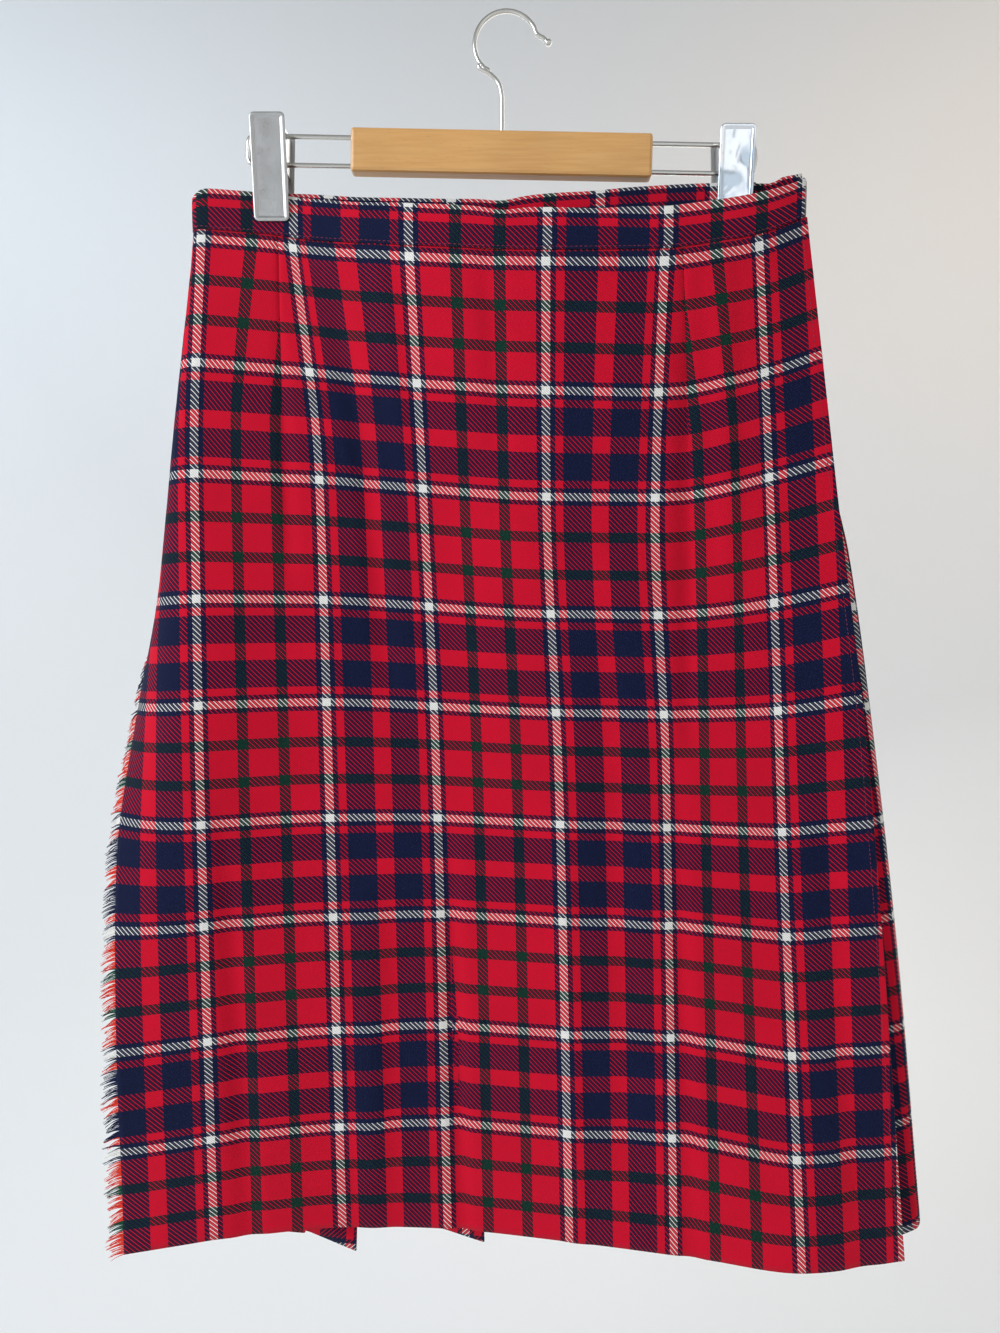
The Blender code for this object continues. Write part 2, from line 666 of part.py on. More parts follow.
def make_clip_plate(name, middle_x, top_z, jaw_y, facing):
    """One jaw: a plate with a raised rim, leaning out from the cloth towards its top."""
    mesh = bmesh.new()
    rounded_plate(mesh, CLIP_WIDTH, CLIP_HEIGHT, CLIP_CORNER, CLIP_PLATE)
    front = min(mesh.faces, key=lambda face: face.calc_center_median().y)
    bmesh.ops.inset_region(mesh, faces=[front], thickness=CLIP_RIM_WIDTH * MILLIMETRE)
    bmesh.ops.translate(mesh, verts=front.verts, vec=to_metres((0.0, CLIP_RIM_RISE, 0.0)))
    lean = math.atan2(CLIP_SPREAD, CLIP_HEIGHT)
    bmesh.ops.translate(mesh, verts=mesh.verts, vec=to_metres((0.0, 0.0, CLIP_HEIGHT / 2)))
    bmesh.ops.rotate(mesh, matrix=Matrix.Rotation(lean, 3, "X"), verts=mesh.verts)
    if facing > 0:
        bmesh.ops.scale(mesh, vec=(1.0, -1.0, 1.0), verts=mesh.verts)
        bmesh.ops.reverse_faces(mesh, faces=mesh.faces)
    bottom = (middle_x, jaw_y, top_z - CLIP_HEIGHT * math.cos(lean))
    bmesh.ops.translate(mesh, verts=mesh.verts, vec=to_metres(bottom))
    data = bpy.data.meshes.new(name)
    mesh.to_mesh(data)
    mesh.free()
    add_object(name, data, STEEL)
    return lean


def prism(mesh, outline, from_x, to_x):
    """A block with an outline in y and z, from one x to another."""
    first = [mesh.verts.new(to_metres((from_x, y, z))) for y, z in outline]
    second = [mesh.verts.new(to_metres((to_x, y, z))) for y, z in outline]
    mesh.faces.new(first)
    mesh.faces.new(reversed(second))
    for index in range(len(outline)):
        after = (index + 1) % len(outline)
        mesh.faces.new((first[index], second[index], second[after], first[after]))
    bmesh.ops.recalc_face_normals(mesh, faces=mesh.faces)


def round_outline(y, z, radius, sides):
    steps = [2.0 * math.pi * index / sides for index in range(sides)]
    return [(y + radius * math.cos(angle), z + radius * math.sin(angle)) for angle in steps]


def prism_object(name, outline, from_x, to_x, surface):
    mesh = bmesh.new()
    prism(mesh, outline, from_x, to_x)
    data = bpy.data.meshes.new(name)
    mesh.to_mesh(data)
    mesh.free()
    return add_object(name, data, surface)


def cut(body, cutter):
    """Take the cutter out of the body."""
    hole = body.modifiers.new("cut", "BOOLEAN")
    hole.object = cutter
    cutter.hide_render = True
    cutter.display_type = "WIRE"


def make_clip(name, middle_x, front_y, back_y):
    """Two sprung plates on a saddle that rides on the wire loop."""
    bar_offset = middle_x - BAR_CENTRE[0]
    top_z = tilted(bar_offset, 0.0, CLIP_ABOVE_BAR_CENTRE)[2]
    front_jaw = front_y - SEAM_GAP
    back_jaw = back_y + SEAM_GAP
    lean = make_clip_plate("clip_front_" + name, middle_x, top_z, front_jaw, -1)
    make_clip_plate("clip_back_" + name, middle_x, top_z, back_jaw, 1)

    def plate_inside(below_top):
        return (CLIP_HEIGHT * math.cos(lean) - below_top) * math.tan(lean)

    def saddle_outline(web):
        """The saddle from the side; web moves its front edge in by that much."""
        outline = []
        for below_top, is_front in ((0, True), (1, True), (1, False), (0, False)):
            drop = CLIP_EAR[below_top]
            reach = plate_inside(drop) - SEAM_GAP
            y = front_jaw - reach + web if is_front else back_jaw + reach
            outline.append((y, top_z - drop))
        return outline

    half = CLIP_WIDTH / 2 - CLIP_EAR_INSET
    inner = half - CLIP_EAR_THICK
    saddle = prism_object("clip_saddle_" + name, saddle_outline(0.0), middle_x - half, middle_x + half, STEEL)
    front_top, front_low, back_low, back_top_corner = saddle_outline(CLIP_EAR_THICK)
    slope = (front_low[0] - front_top[0]) / (front_top[1] - front_low[1]) * CUT_PAST
    space = [
        (front_top[0] - slope, front_top[1] + CUT_PAST),
        (front_low[0] + slope, front_low[1] - CUT_PAST),
        (back_low[0] + CUT_PAST, back_low[1] - CUT_PAST),
        (back_top_corner[0] + CUT_PAST, back_top_corner[1] + CUT_PAST),
    ]
    cut(saddle, prism_object("cutter_space_" + name, space, middle_x - inner, middle_x + inner, STEEL))
    for part, side in (("upper", 1.0), ("lower", -1.0)):
        wire_z = tilted(bar_offset, 0.0, side * WIRE_SPACING / 2)[2]
        outline = round_outline(0.0, wire_z, CLIP_HOLE_RADIUS, 10)
        reach = half + CUT_PAST
        cutter = prism_object("cutter_" + part + name, outline, middle_x - reach, middle_x + reach, STEEL)
        cut(saddle, cutter)
    pin = inner - SEAM_GAP
    pin_outline = round_outline(BAR_CENTRE[1], top_z - CLIP_PIN_BELOW_TOP, CLIP_PIN_RADIUS, 12)
    prism_object("clip_spring_" + name, pin_outline, middle_x - pin, middle_x + pin, STEEL)


def make_button():
    """The flat button that closes the over-apron at the back left."""
    band_y = side_point(SIDE_WIDTH[0] - BUTTON_FROM_FOLD, 0.0)[1] + BAND_THICK / 2
    middle_z = EDGE_Z[0] + BAND_HEIGHT / 2
    mesh = bmesh.new()
    bmesh.ops.create_cone(
        mesh, cap_ends=True, segments=20, radius1=BUTTON_RADIUS * MILLIMETRE,
        radius2=BUTTON_RADIUS * MILLIMETRE, depth=BUTTON_THICK * MILLIMETRE)
    data = bpy.data.meshes.new("button")
    mesh.to_mesh(data)
    mesh.free()
    button = add_object("button", data, HORN)
    button.rotation_euler = (math.radians(90.0), 0.0, 0.0)
    button.location = to_metres((BUTTON_X, band_y + SEAM_GAP + BUTTON_THICK / 2, middle_z))


make_over_apron()
make_back()
make_under_apron()
make_front_band()
make_back_band()
make_under_band()
make_fringe()
make_bar()
make_side_wires()
make_hook()
for clip in CLIPS:
    make_clip(*clip)
make_button()
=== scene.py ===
# %% [markdown]
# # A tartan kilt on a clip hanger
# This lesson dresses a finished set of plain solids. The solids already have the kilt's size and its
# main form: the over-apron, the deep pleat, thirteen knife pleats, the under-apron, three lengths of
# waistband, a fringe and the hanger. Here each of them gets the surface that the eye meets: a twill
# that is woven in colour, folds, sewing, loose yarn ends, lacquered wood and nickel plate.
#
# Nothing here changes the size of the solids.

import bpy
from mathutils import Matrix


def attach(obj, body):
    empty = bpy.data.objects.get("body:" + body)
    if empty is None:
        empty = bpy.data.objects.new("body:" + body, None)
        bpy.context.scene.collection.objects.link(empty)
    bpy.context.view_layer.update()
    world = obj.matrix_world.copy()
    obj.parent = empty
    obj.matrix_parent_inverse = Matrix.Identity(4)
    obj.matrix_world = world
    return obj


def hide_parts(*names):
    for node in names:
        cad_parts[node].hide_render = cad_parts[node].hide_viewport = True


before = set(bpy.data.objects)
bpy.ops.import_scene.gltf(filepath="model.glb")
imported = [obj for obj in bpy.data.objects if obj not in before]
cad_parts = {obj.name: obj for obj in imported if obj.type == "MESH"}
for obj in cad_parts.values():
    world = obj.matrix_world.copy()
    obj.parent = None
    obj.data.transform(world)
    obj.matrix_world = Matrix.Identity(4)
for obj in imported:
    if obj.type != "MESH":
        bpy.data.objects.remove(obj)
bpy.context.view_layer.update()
print("solids loaded:", len(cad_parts))

# %% [markdown]
# ## Millimetres and small helpers
# A maker measures cloth in millimetres, so every size below is in millimetres and is turned into
# metres once, at the end. A curve through a few given knots is enough for every soft line on the
# kilt: it never overshoots its knots, so a fold set to 2 mm deep stays 2 mm deep.

# %% Helpers for numbers
import math
import random

import bmesh
import bpy
import numpy as np
from mathutils import Vector

MM = 0.001
random.seed(7)


def curve(knots, values, at):
    """A smooth value between given knots, a cubic that never overshoots them."""
    last = len(knots) - 2
    piece = 0
    while piece < last and at > knots[piece + 1]:
        piece += 1
    steps = [after - before for before, after in zip(knots, knots[1:])]
    rises = [(after - before) / step for before, after, step in zip(values, values[1:], steps)]

    def slope(knot):
        if knot == 0:
            return rises[0]
        if knot > last:
            return rises[last]
        before, after = rises[knot - 1], rises[knot]
        if before * after <= 0.0:
            return 0.0
        return 2.0 * before * after / (before + after)

    step = steps[piece]
    t = min(max((at - knots[piece]) / step, 0.0), 1.0)
    start = values[piece] * (2 * t**3 - 3 * t**2 + 1) + step * slope(piece) * (t**3 - 2 * t**2 + t)
    end = values[piece + 1] * (3 * t**2 - 2 * t**3) + step * slope(piece + 1) * (t**3 - t**2)
    return start + end


def mix(pair, share):
    """A straight run between two values."""
    return pair[0] + (pair[1] - pair[0]) * share


print("half way between 2 and 4 on a straight curve:", curve((0.0, 1.0), (2.0, 4.0), 0.5))

# %% [markdown]
# ## Camera
# The photograph was taken by hand, close, at the height of the kilt's middle and tipped a little
# down. A lens of 27 mm on a 36 mm sensor gives the same spread: the hem looks wider than it is.

# %% Camera
camera_data = bpy.data.cameras.new("camera")
camera_data.sensor_width = 36.0
camera_data.lens = 27.03
camera = bpy.data.objects.new("camera", camera_data)
camera.location = (-0.004, -0.640, -0.3493)
camera.rotation_euler = (math.radians(90.0 - 4.5), 0.0, 0.0)
bpy.context.scene.collection.objects.link(camera)
bpy.context.scene.camera = camera
bpy.context.scene.view_settings.view_transform = "Standard"
print("camera stands", round(-camera.location.y, 3), "m in front of the hook")

# %% [markdown]
# ## Colours and nodes
# Colours are written as the hex values that one reads off a swatch. A screen's values are not light:
# one function turns them into the linear values that the renderer works with. One more function adds
# a node, sets it and links it, which is all that the materials below need.

# %% Helpers for materials
def linear(swatch, alpha=1.0):
    """A swatch such as "#DC0A2D" as linear red, green, blue and alpha."""
    parts = [int(swatch[start:start + 2], 16) / 255.0 for start in (1, 3, 5)]
    light = [part / 12.92 if part <= 0.04045 else ((part + 0.055) / 1.055) ** 2.4 for part in parts]
    return (*light, alpha)


def add_node(tree, kind, inputs=None, **settings):
    """Add one node. An input that is given as a socket is linked, and any other is set."""
    node = tree.nodes.new(kind)
    for name, value in settings.items():
        setattr(node, name, value)
    for place, value in (inputs or {}).items():
        if isinstance(value, bpy.types.NodeSocket):
            tree.links.new(value, node.inputs[place])
        else:
            node.inputs[place].default_value = value
    return node


def new_material(name, swatch, roughness, metallic=0.0):
    """An empty material with its shader: returns the material, its node tree and the shader."""
    material = bpy.data.materials.new(name)
    material.use_nodes = True
    shader = material.node_tree.nodes["Principled BSDF"]
    shader.inputs["Base Color"].default_value = linear(swatch)
    shader.inputs["Roughness"].default_value = roughness
    shader.inputs["Metallic"].default_value = metallic
    material.diffuse_color = linear(swatch)
    return material, material.node_tree, shader


print("a swatch of #808080 in linear light:", [round(part, 3) for part in linear("#808080")])

# %% [markdown]
# ## Floor and light
# The floor is pale painted board that curves up into a wall all round, well away from the kilt, so
# that every side is seen against the same calm grey. The light is a big soft source on the left, as
# cool as a window's, and a weaker, warmer one on the right.

# %% Floor
FLOOR_Z = -1.28
SWEEP = ((0.0, 0.0), (1.2, 0.0), (1.8, 0.05), (2.25, 0.25), (2.5, 0.7), (2.6, 1.4), (2.6, 3.4))


def lathe(name, profile, steps, surface):
    """Turn a profile of (radius, height) pairs, in metres, about the upright axis."""
    verts, faces = [], []
    for index in range(steps):
        angle = 2.0 * math.pi * index / steps
        verts += [(r * math.cos(angle), r * math.sin(angle), z) for r, z in profile]
    rings = len(profile)
    for index in range(steps):
        here, there = index * rings, ((index + 1) % steps) * rings
        for ring in range(rings - 1):
            faces.append((here + ring, there + ring, there + ring + 1, here + ring + 1))
    mesh = bpy.data.meshes.new(name)
    mesh.from_pydata(verts, [], faces)
    mesh.polygons.foreach_set("use_smooth", [True] * len(faces))
    mesh.materials.append(surface)
    turned = bpy.data.objects.new(name, mesh)
    bpy.context.scene.collection.objects.link(turned)
    return turned


matt_paint, _, _ = new_material("matt_wall_paint", "#E9EAEA", 0.9)
sweep_profile = [
    (curve([float(k) for k in range(len(SWEEP))], [p[0] for p in SWEEP], step / 8.0),
     curve([float(k) for k in range(len(SWEEP))], [p[1] for p in SWEEP], step / 8.0))
    for step in range(8 * (len(SWEEP) - 1) + 1)
]
floor = lathe("floor", sweep_profile, 96, matt_paint)
floor.location.z = FLOOR_Z
print("the wall stands", SWEEP[-1][0], "m from the kilt")

# %% Light
def area_light(name, place, aim, size, power, swatch):
    """A square soft source that faces the aim."""
    data = bpy.data.lights.new(name, "AREA")
    data.shape = "SQUARE"
    data.size = size
    data.energy = power
    data.color = linear(swatch)[:3]
    lamp = bpy.data.objects.new(name, data)
    lamp.location = place
    away = [start - end for start, end in zip(place, aim)]
    lamp.rotation_mode = "QUATERNION"
    lamp.rotation_quaternion = Vector(away).to_track_quat("Z", "Y")
    bpy.context.scene.collection.objects.link(lamp)
    return lamp


MIDDLE = (0.0, 0.0, -0.42)
area_light("window", (-1.75, -1.2, 0.25), MIDDLE, 1.3, 39.0, "#EEF5FF")
area_light("room", (1.5, -1.3, 0.0), MIDDLE, 1.4, 1.5, "#FFF1E0")
area_light("behind", (0.4, 1.7, 0.5), MIDDLE, 1.4, 18.0, "#FAF8F4")
area_light("wall wash left", (-0.9, 1.0, 0.9), (-1.5, 2.6, -0.3), 0.9, 8.0, "#DDEFFF")
area_light("wall wash right", (0.9, 1.0, 0.9), (1.5, 2.6, -0.3), 0.9, 5.0, "#FFD08C")
area_light("opening", (0.62, -2.15, 0.08), MIDDLE, 0.6, 0.6, "#F4F9FF")
world = bpy.data.worlds.new("soft_sky")
world.use_nodes = True
world.node_tree.nodes["Background"].inputs["Color"].default_value = linear("#F2F6FA")
world.node_tree.nodes["Background"].inputs["Strength"].default_value = 0.39
bpy.context.scene.world = world
bpy.context.scene.cycles.max_bounces = 5
bpy.context.scene.cycles.diffuse_bounces = 3

# %% [markdown]
# ## The check
# A tartan is one list of coloured yarns, used for the warp and again for the weft. The list here runs
# from the middle of a red square out to the middle of a navy one and then back again, so it is only
# nine stripes long. Its widths were measured across the flat front. The weft is beaten a little closer
# than the warp, so its stripes are narrower by one twentieth.
#
# Worsted yarn has a soft bloom of fibre ends, which shows as a low sheen, and no gloss. The cloth is a
# two and two twill: where warp and weft differ in colour, the eye sees fine slanting ribs of both, and
# where they are the same it sees plain colour with a faint slant. Real threads are 0.5 mm apart, too
# fine to show here, but a rib is four of them and does show, so the pattern is drawn rib by rib, at
# 3.2 mm instead of the real 2.0 so that it holds up in a small picture. Between two ribs the yarn dives
# into the cloth and lies in shade: there the darker of the two colours is painted in, and the colour
# in every groove between ribs is painted darker. Both are painted shade.

# %% The check's chart
SETT = (
    # yarn, width in millimetres
    ("red", 9.25),
    ("green", 7.0),
    ("red", 18.0),
    ("navy", 3.25),
    ("white", 5.0),
    ("navy", 3.25),
    ("red", 5.0),
    ("navy", 18.5),
    ("red", 5.75),
)
YARNS = {"red": "#D0082A", "navy": "#0D1536", "green": "#0A3226", "white": "#EDEAE2"}
HALF_SETT = sum(width for _, width in SETT)
RED_MIDDLE = 40.0
WEFT_CLOSER = 0.9467
RIB = 3.2
print("the check repeats every", 2 * HALF_SETT, "mm")

# %% The cloth's material
def yarn_stripes(tree, place, yarns):
    """The colour of the yarn that lies at a place, in millimetres, across the stripes."""
    folded = add_node(tree, "ShaderNodeMath", {0: place, 1: HALF_SETT}, operation="PINGPONG")
    share = add_node(tree, "ShaderNodeMath", {0: folded.outputs[0], 1: HALF_SETT}, operation="DIVIDE")
    ramp = add_node(tree, "ShaderNodeValToRGB", {0: share.outputs[0]})
    stripes = ramp.color_ramp
    stripes.interpolation = "CONSTANT"
    start = 0.0
    for number, (yarn, width) in enumerate(SETT):
        stop = stripes.elements[0] if number == 0 else stripes.elements.new(start / HALF_SETT)
        stop.position = start / HALF_SETT
        stop.color = linear(yarns[yarn])
        start += width
    stripes.elements.remove(stripes.elements[-1])
    return ramp.outputs["Color"]


def cloth_places(tree):
    """Where a spot lies on the flat cloth, in millimetres: across the warp and along it."""
    unrolled = add_node(tree, "ShaderNodeUVMap", uv_map="cloth")
    apart = add_node(tree, "ShaderNodeSeparateXYZ", {0: unrolled.outputs[0]})
    across = add_node(tree, "ShaderNodeMath", {0: apart.outputs[0], 1: 1000.0}, operation="MULTIPLY")
    along = add_node(tree, "ShaderNodeMath", {0: apart.outputs[1], 1: 1000.0}, operation="MULTIPLY")
    return across.outputs[0], along.outputs[0]


def warp_and_weft(tree, across, along):
    """The two sets of stripes, both started at the middle of a red square."""
    warp_place = add_node(tree, "ShaderNodeMath", {0: across, 1: RED_MIDDLE}, operation="SUBTRACT")
    evened = add_node(tree, "ShaderNodeMath", {0: along, 1: WEFT_CLOSER}, operation="DIVIDE")
    weft_place = add_node(tree, "ShaderNodeMath", {0: evened.outputs[0], 1: RED_MIDDLE}, operation="SUBTRACT")
    return (
        yarn_stripes(tree, warp_place.outputs[0], YARNS),
        yarn_stripes(tree, weft_place.outputs[0], YARNS),
    )


def worsted_twill():
    """The tartan: a two and two twill of worsted yarn, with painted shade between the ribs."""
    material, tree, shader = new_material("tartan_worsted_twill", YARNS["red"], 0.85)
    across, along = cloth_places(tree)
    warp, weft = warp_and_weft(tree, across, along)
    slant = add_node(tree, "ShaderNodeMath", {0: across, 1: along}, operation="SUBTRACT")
    swing = add_node(tree, "ShaderNodeMath", {0: slant.outputs[0], 1: RIB / 2}, operation="PINGPONG")
    on_top = add_node(
        tree, "ShaderNodeMapRange",
        {"Value": swing.outputs[0], "From Min": RIB * 0.20, "From Max": RIB * 0.30,
         "To Min": 0.07, "To Max": 0.93},
        interpolation_type="SMOOTHSTEP")
    woven = add_node(
        tree, "ShaderNodeMix", {"Factor": on_top.outputs[0], "A": weft, "B": warp}, data_type="RGBA")
    # Painted shade: between two ribs the darker of the two yarn colours is painted in, for the shade where a
    # yarn dives into the cloth.
    darker = add_node(
        tree, "ShaderNodeMix", {"Factor": 1.0, "A": warp, "B": weft}, data_type="RGBA", blend_type="DARKEN")
    from_middle = add_node(
        tree, "ShaderNodeMath", {0: swing.outputs[0], 1: RIB / 4, 2: 0.0}, operation="SUBTRACT")
    near = add_node(tree, "ShaderNodeMath", {0: from_middle.outputs[0]}, operation="ABSOLUTE")
    valley_shade_mask = add_node(
        tree, "ShaderNodeMapRange",
        {"Value": near.outputs[0], "From Min": RIB * 0.09, "From Max": RIB * 0.19,
         "To Min": 1.0, "To Max": 0.0})
    woven = add_node(
        tree, "ShaderNodeMix",
        {"Factor": valley_shade_mask.outputs[0], "A": woven.outputs["Result"], "B": darker.outputs["Result"]},
        data_type="RGBA")
    valley = add_node(tree, "ShaderNodeMath", {0: slant.outputs[0], 1: RIB / 4}, operation="PINGPONG")
    height = add_node(
        tree, "ShaderNodeMapRange",
        {"Value": valley.outputs[0], "From Min": 0.0, "From Max": RIB / 4, "To Min": 1.0, "To Max": 0.0},
        interpolation_type="SMOOTHSTEP")
    body = add_node(tree, "ShaderNodeTexCoord")
    fibres = add_node(
        tree, "ShaderNodeTexNoise",
        {"Vector": body.outputs["Object"], "Scale": 1400.0, "Detail": 1.0, "Roughness": 0.7})
    uneven = add_node(
        tree, "ShaderNodeTexNoise", {"Vector": body.outputs["Object"], "Scale": 26.0, "Detail": 1.0})
    fibre_tone = add_node(
        tree, "ShaderNodeMapRange",
        {"Value": fibres.outputs["Fac"], "From Min": 0.3, "From Max": 0.7, "To Min": 0.93, "To Max": 1.06})
    slow_tone = add_node(
        tree, "ShaderNodeMapRange",
        {"Value": uneven.outputs["Fac"], "From Min": 0.3, "From Max": 0.7, "To Min": 0.96, "To Max": 1.04})
    # Painted shade: the colour is painted darker in the groove between ribs, with a faint painted highlight
    # on each rib's crown. The fibre and slow tones are random variation.
    painted_rib_shading = add_node(
        tree, "ShaderNodeMapRange", {"Value": height.outputs[0], "To Min": 0.76, "To Max": 1.05})
    tone = add_node(
        tree, "ShaderNodeMath", {0: fibre_tone.outputs[0], 1: slow_tone.outputs[0]}, operation="MULTIPLY")
    tone = add_node(
        tree, "ShaderNodeMath", {0: tone.outputs[0], 1: painted_rib_shading.outputs[0]}, operation="MULTIPLY")
    colour = add_node(
        tree, "ShaderNodeVectorMath", {0: woven.outputs["Result"], "Scale": tone.outputs[0]},
        operation="SCALE")
    rough = add_node(
        tree, "ShaderNodeMapRange", {"Value": fibres.outputs["Fac"], "To Min": 0.78, "To Max": 0.92})
    relief = add_node(
        tree, "ShaderNodeMath", {0: fibres.outputs["Fac"], 1: 0.2, 2: height.outputs[0]},
        operation="MULTIPLY_ADD")
    bump = add_node(
        tree, "ShaderNodeBump", {"Height": relief.outputs[0], "Strength": 0.45, "Distance": 0.00018})
    tree.links.new(colour.outputs[0], shader.inputs["Base Color"])
    tree.links.new(rough.outputs[0], shader.inputs["Roughness"])
    tree.links.new(bump.outputs[0], shader.inputs["Normal"])
    shader.inputs["Sheen Weight"].default_value = 0.03
    shader.inputs["Sheen Roughness"].default_value = 0.5
    shader.inputs["Specular IOR Level"].default_value = 0.12
    shader.inputs["IOR"].default_value = 1.54
    return material


tartan = worsted_twill()
print("cloth material:", tartan.name)

# %% [markdown]
# ## Yarn for the fringe and thread for the sewing
# The fringe is the weft itself with the warp pulled out, so each yarn end has the colour of the weft
# stripe that it comes from. Light shines through the loose fibres, so the red looks nearer to orange
# there. The sewing thread is spun polyester in a wine red: smoother than wool, with a faint gloss.

# %% Yarn and thread
LOOSE_YARNS = {"red": "#E23A26", "navy": "#141D40", "green": "#0E4A35", "white": "#EDEAE2"}


def ravelled_yarn():
    """The loose ends of the weft."""
    material, tree, shader = new_material("ravelled_worsted_yarn", YARNS["red"], 0.9)
    _, along = cloth_places(tree)
    evened = add_node(tree, "ShaderNodeMath", {0: along, 1: WEFT_CLOSER}, operation="DIVIDE")
    weft_place = add_node(tree, "ShaderNodeMath", {0: evened.outputs[0], 1: RED_MIDDLE}, operation="SUBTRACT")
    weft = yarn_stripes(tree, weft_place.outputs[0], LOOSE_YARNS)
    body = add_node(tree, "ShaderNodeTexCoord")
    fibres = add_node(
        tree, "ShaderNodeTexNoise", {"Vector": body.outputs["Object"], "Scale": 1100.0, "Detail": 2.0})
    tone = add_node(
        tree, "ShaderNodeMapRange",
        {"Value": fibres.outputs["Fac"], "From Min": 0.3, "From Max": 0.7, "To Min": 0.75, "To Max": 1.15})
    colour = add_node(
        tree, "ShaderNodeVectorMath", {0: weft, "Scale": tone.outputs[0]}, operation="SCALE")
    bump = add_node(
        tree, "ShaderNodeBump", {"Height": fibres.outputs["Fac"], "Strength": 0.3, "Distance": 0.0001})
    tree.links.new(colour.outputs[0], shader.inputs["Base Color"])
    tree.links.new(bump.outputs[0], shader.inputs["Normal"])
    shader.inputs["Sheen Weight"].default_value = 0.04
    shader.inputs["Specular IOR Level"].default_value = 0.15
    return material


def sewing_thread():
    """Two-ply polyester: the ply shows as a slanting band every 0.6 mm, its dark half painted shade in the
    groove between the plies.
    """
    material, tree, shader = new_material("polyester_sewing_thread", "#7A1234", 0.55)
    body = add_node(tree, "ShaderNodeTexCoord")
    ply = add_node(
        tree, "ShaderNodeTexWave",
        {"Vector": body.outputs["Object"], "Scale": 260.0, "Distortion": 0.5},
        wave_type="BANDS", bands_direction="DIAGONAL")
    # Painted shade: the colour runs dark in each groove between the plies and light on each ply, along the
    # same bands as the bump.
    tone = add_node(
        tree, "ShaderNodeValToRGB", {0: ply.outputs["Fac"]})
    tone.color_ramp.elements[0].color = linear("#5A0E28")
    tone.color_ramp.elements[1].color = linear("#8C2344")
    bump = add_node(
        tree, "ShaderNodeBump", {"Height": ply.outputs["Fac"], "Strength": 0.3, "Distance": 0.0001})
    tree.links.new(tone.outputs[0], shader.inputs["Base Color"])
    tree.links.new(bump.outputs[0], shader.inputs["Normal"])
    return material


fringe_yarn = ravelled_yarn()
wine_thread = sewing_thread()
print("yarn and thread:", fringe_yarn.name, wine_thread.name)

# %% [markdown]
# ## Cloth as a sheet
# Real cloth has no thickness that the eye measures, but it does have an edge. So each panel is one
# grid of points, given 0.9 mm of thickness by a modifier. The grid keeps two facts for each point: where
# it hangs, and where it was on the flat cloth. The second fact carries the check, so the check runs
# over a fold as it would in wool. A dart or a hidden fold takes cloth away, and there the check may
# jump from one column to the next: each column has a place for the cells before it and one for the
# cells after it.

# %% A sheet from its rows
CLOTH_THICK = 0.9


def cloth_sheet(name, rows, surface, thick=CLOTH_THICK):
    """Build a sheet from rows of spots: x, y, z, place across before, place across after, place along."""
    grid = np.array(rows, dtype=float)
    row_count, column_count = grid.shape[:2]
    verts = grid[:, :, :3].reshape(-1, 3) * MM
    index = np.arange(row_count * column_count).reshape(row_count, column_count)
    corners = (index[:-1, :-1], index[1:, :-1], index[1:, 1:], index[:-1, 1:])
    faces = np.stack(corners, axis=-1).reshape(-1, 4)
    after, before, along = grid[:, :, 4], grid[:, :, 3], grid[:, :, 5]
    across = np.stack((after[:-1, :-1], after[1:, :-1], before[1:, 1:], before[:-1, 1:]), axis=-1)
    down = np.stack((along[:-1, :-1], along[1:, :-1], along[1:, 1:], along[:-1, 1:]), axis=-1)
    mesh = bpy.data.meshes.new(name)
    mesh.from_pydata(verts.tolist(), [], faces.tolist())
    places = np.stack((across.reshape(-1), down.reshape(-1)), axis=-1) * MM
    mesh.uv_layers.new(name="cloth").data.foreach_set("uv", places.reshape(-1))
    mesh.polygons.foreach_set("use_smooth", [True] * len(faces))
    mesh.materials.append(surface)
    sheet = bpy.data.objects.new(name, mesh)
    bpy.context.scene.collection.objects.link(sheet)
    body = sheet.modifiers.new("thickness", "SOLIDIFY")
    body.thickness = thick * MM
    body.offset = 0.0
    return sheet


def declare(piece, slot, *nodes):
    """The piece hangs with the rest and stands for these solids, which are hidden. The slot is not used."""
    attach(piece, "root")
    if nodes:
        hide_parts(*nodes)
    return piece


print("a sheet is", CLOTH_THICK, "mm thick")

# %% [markdown]
# ## The over-apron
# The front is one flat panel, narrowed at the waist by two darts, that hangs from the band. Its own
# check is the best ruler on it: six white lines run down it, and the table says where each of them
# hangs at the waist, the hip, the middle and the hem. A second table says how high each crossing line
# hangs on those six, because cloth that hangs free dips between its supports.

# %% The over-apron's tables
LEVELS = (0.0, 0.23, 0.50, 1.0)
FRONT_LINES = (
    # name          across  x seam, hip, middle, hem              y seam, hip, middle, hem         z seam, hem
    ("first white",   0.0, (-188.0, -193.6, -193.5, -190.5), (-4.0, -11.0, -15.0, -18.0), (-129.1, -773.5)),
    ("left dart",    57.5, (-141.0, -140.0, -138.0, -133.0), (-4.0, -5.0, -3.5, -8.5), (-133.0, -773.0)),
    ("second white", 80.0, (-131.6, -117.7, -115.0, -109.0), (-4.3, -3.5, -1.0, -5.0), (-134.7, -773.5)),
    ("third white", 150.0, (-58.7, -52.2, -45.5, -39.0), (-20.0, -4.0, 3.0, 0.0), (-144.1, -778.0)),
    ("fourth white", 230.0, (23.1, 24.8, 33.5, 42.0), (-26.0, -10.0, -2.0, -6.0), (-148.7, -783.0)),
    ("fifth white", 300.0, (93.7, 92.8, 103.0, 110.5), (-24.0, -10.0, -3.0, -14.0), (-147.3, -787.0)),
    ("right dart",  321.0, (105.6, 115.0, 122.0, 131.0), (-22.0, -9.0, -3.5, -17.0), (-145.5, -788.0)),
    ("sixth white", 380.0, (152.0, 163.6, 175.0, 191.0), (-15.0, -8.0, -5.0, -26.0), (-136.0, -791.0)),
    ("right fold",  447.0, (183.5, 204.5, 229.0, 260.5), (-6.0, -6.0, -10.0, -16.0), (-122.6, -789.5)),
)
WHITE_LINES = [line for line in FRONT_LINES if line[0].endswith("white")]
